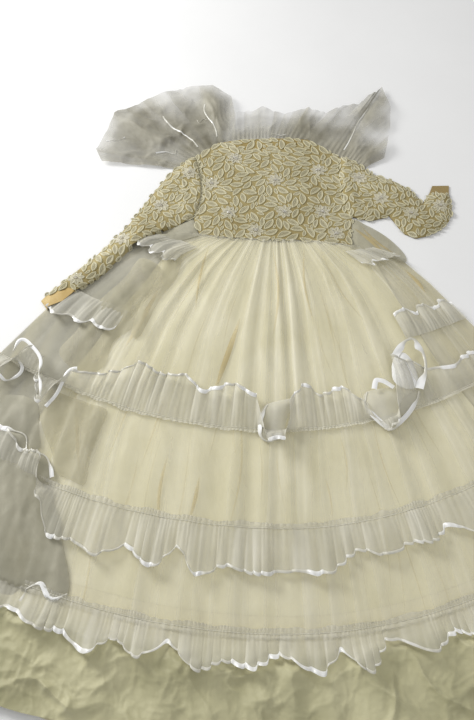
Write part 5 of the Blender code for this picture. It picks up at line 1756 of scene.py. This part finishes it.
def cape_ribbon(number, where, seam):
    """Narrow ribbon from near the seam towards the free edge."""
    shares = np.linspace(*CAPE_RIBBON_RUN, CAPE_RIBBON_STEPS)
    at = np.full(CAPE_RIBBON_STEPS, where)
    px, py, _ = cape_points(seam, at + 0.006 * np.sin(9.0 * shares), shares)
    qx, qy, _ = cape_points(seam, at + 0.01, shares)
    side = unit(np.stack([qx - px, qy - py], axis=-1))
    rows = []
    for step in CAPE_RIBBON_OVER:
        rx = px + side[:, 0] * step * CAPE_RIBBON_HALF
        ry = py + side[:, 1] * step * CAPE_RIBBON_HALF
        rz = cape_height(rx, ry) + 0.0009 + 0.0006 * (1.0 - step * step)
        rows.append(np.stack([rx, ry, rz], axis=-1))
    # Painted highlight in scattered patches along the ribbon
    painted_glints = eased((noise(shares * 9.0, shares * 0.0, 70 + number) - 0.5) / 0.3) * 0.45 + 0.05
    shine = {"ribbon_painted_highlight": np.tile(painted_glints, (len(rows), 1)).reshape(-1)}
    strip = grid_piece(f"cape_satin_{number}", np.array(rows), MATERIALS["satin"], shares=shine)
    return hang_on(strip, [f"cape_ribbon_{number}"])


def cape():
    seam = cape_seam()
    rows, columns = CAPE_GRID
    share, place = np.meshgrid(np.linspace(0.0, 1.0, rows), np.linspace(0.0, 1.0, columns), indexing="ij")
    x, y, z = cape_points(seam, place, share)
    frill = ripple(TAU * (46.0 * place + 1.4 * np.sin(13.0 * place)))
    gathered = CAPE_GATHER * frill * np.exp(-share / 0.3)
    crumple = CAPE_CRUMPLE * creased(x * 13.0, y * 13.0, 51, 3) ** 1.4 * eased(share * 3.0)
    lip = CAPE_LIP * ripple(TAU * (31.0 * place + np.sin(9.0 * place))) * share ** 4
    scallop = CAPE_SCALLOP * (cloud(place * 24.0, place * 0.0, 57, 3) - 0.5) * share ** 2
    points = np.stack([x, y + scallop, z + gathered + crumple + lip], axis=-1)
    clouds = cloud(x * 11.0, y * 11.0, 59, 3) - 0.5
    cover = 0.80 - 0.46 * share ** 1.3 + 1.15 * clouds + 0.26 * bands(place, 30.0, 55)
    cover = cover + CAPE_LEFT_COVER * eased((0.33 - place) / 0.06)
    obj = grid_piece("cape_organza", points, MATERIALS["cape_organza"], cover, 0.5)
    hang_on(obj, ["cape"])
    support.add_grid("cape", points)
    extras = [cape_ribbon(number, where, seam) for number, where in enumerate(CAPE_RIBBON_PLACES, 1)]
    for number, line in enumerate(CAPE_BITS, 1):
        extras.append(edge_ribbon(f"cape_bit_{number}", line, CAPE_BIT_WIDTH, cape_height, 80 + number, 0.52))


# Stage

def floor_and_lights():
    mesh = bpy.data.meshes.new("floor")
    corners = ((-1.0, -1.0), (1.0, -1.0), (1.0, 1.0), (-1.0, 1.0))
    mesh.from_pydata([(FLOOR_HALF * x, FLOOR_HALF * y, 0.0) for x, y in corners], [], [(0, 1, 2, 3)])
    material, tree, shader = new_material("floor")
    shade_variation(tree, shader, FLOOR_TONES, FLOOR_PATCHES)
    set_inputs(shader, {"Roughness": 0.8})
    mesh.materials.append(material)
    obj = bpy.data.objects.new("floor", mesh)
    obj.location.z = -FLOOR_DROP
    bpy.context.scene.collection.objects.link(obj)

    world = bpy.data.worlds.new("world")
    world.use_nodes = True
    set_inputs(world.node_tree.nodes["Background"], {"Color": (1.0, 1.0, 1.0, 1.0), "Strength": SKY_STRENGTH})
    bpy.context.scene.world = world
    for row in LIGHTS:
        lamp = dict(zip(LIGHT_COLUMNS, row))
        light = bpy.data.lights.new(lamp["name"], "AREA")
        light.shape = "SQUARE"
        light.size = lamp["size"]
        light.energy = lamp["power"]
        obj = bpy.data.objects.new(lamp["name"], light)
        obj.location = lamp["place"]
        obj.rotation_euler = (-Vector(lamp["place"])).to_track_quat("-Z", "Y").to_euler()
        bpy.context.scene.collection.objects.link(obj)


def camera():
    data = bpy.data.cameras.new("camera")
    data.lens = CAMERA_LENS
    data.sensor_width = CAMERA_SENSOR
    data.dof.use_dof = False
    obj = bpy.data.objects.new("camera", data)
    x, y, z = CAMERA_PLACE
    obj.location = (PLACE[0] + x, PLACE[1] + y, z)
    obj.rotation_euler = (math.radians(CAMERA_TILT), 0.0, 0.0)
    bpy.context.scene.collection.objects.link(obj)
    bpy.context.scene.camera = obj


def main():
    camera()
    floor_and_lights()
    bpy.context.scene.view_settings.view_transform = "Standard"
    skirt_layers()
    flounce()
    for number, row in enumerate(SIDE_RUFFLES):
        side_ruffle(row, 101 + number)
    for row in TIERS:
        tier(*row)
    loose_lobes()
    fold_lines()
    bodice()
    sleeves()
    cape()


main()
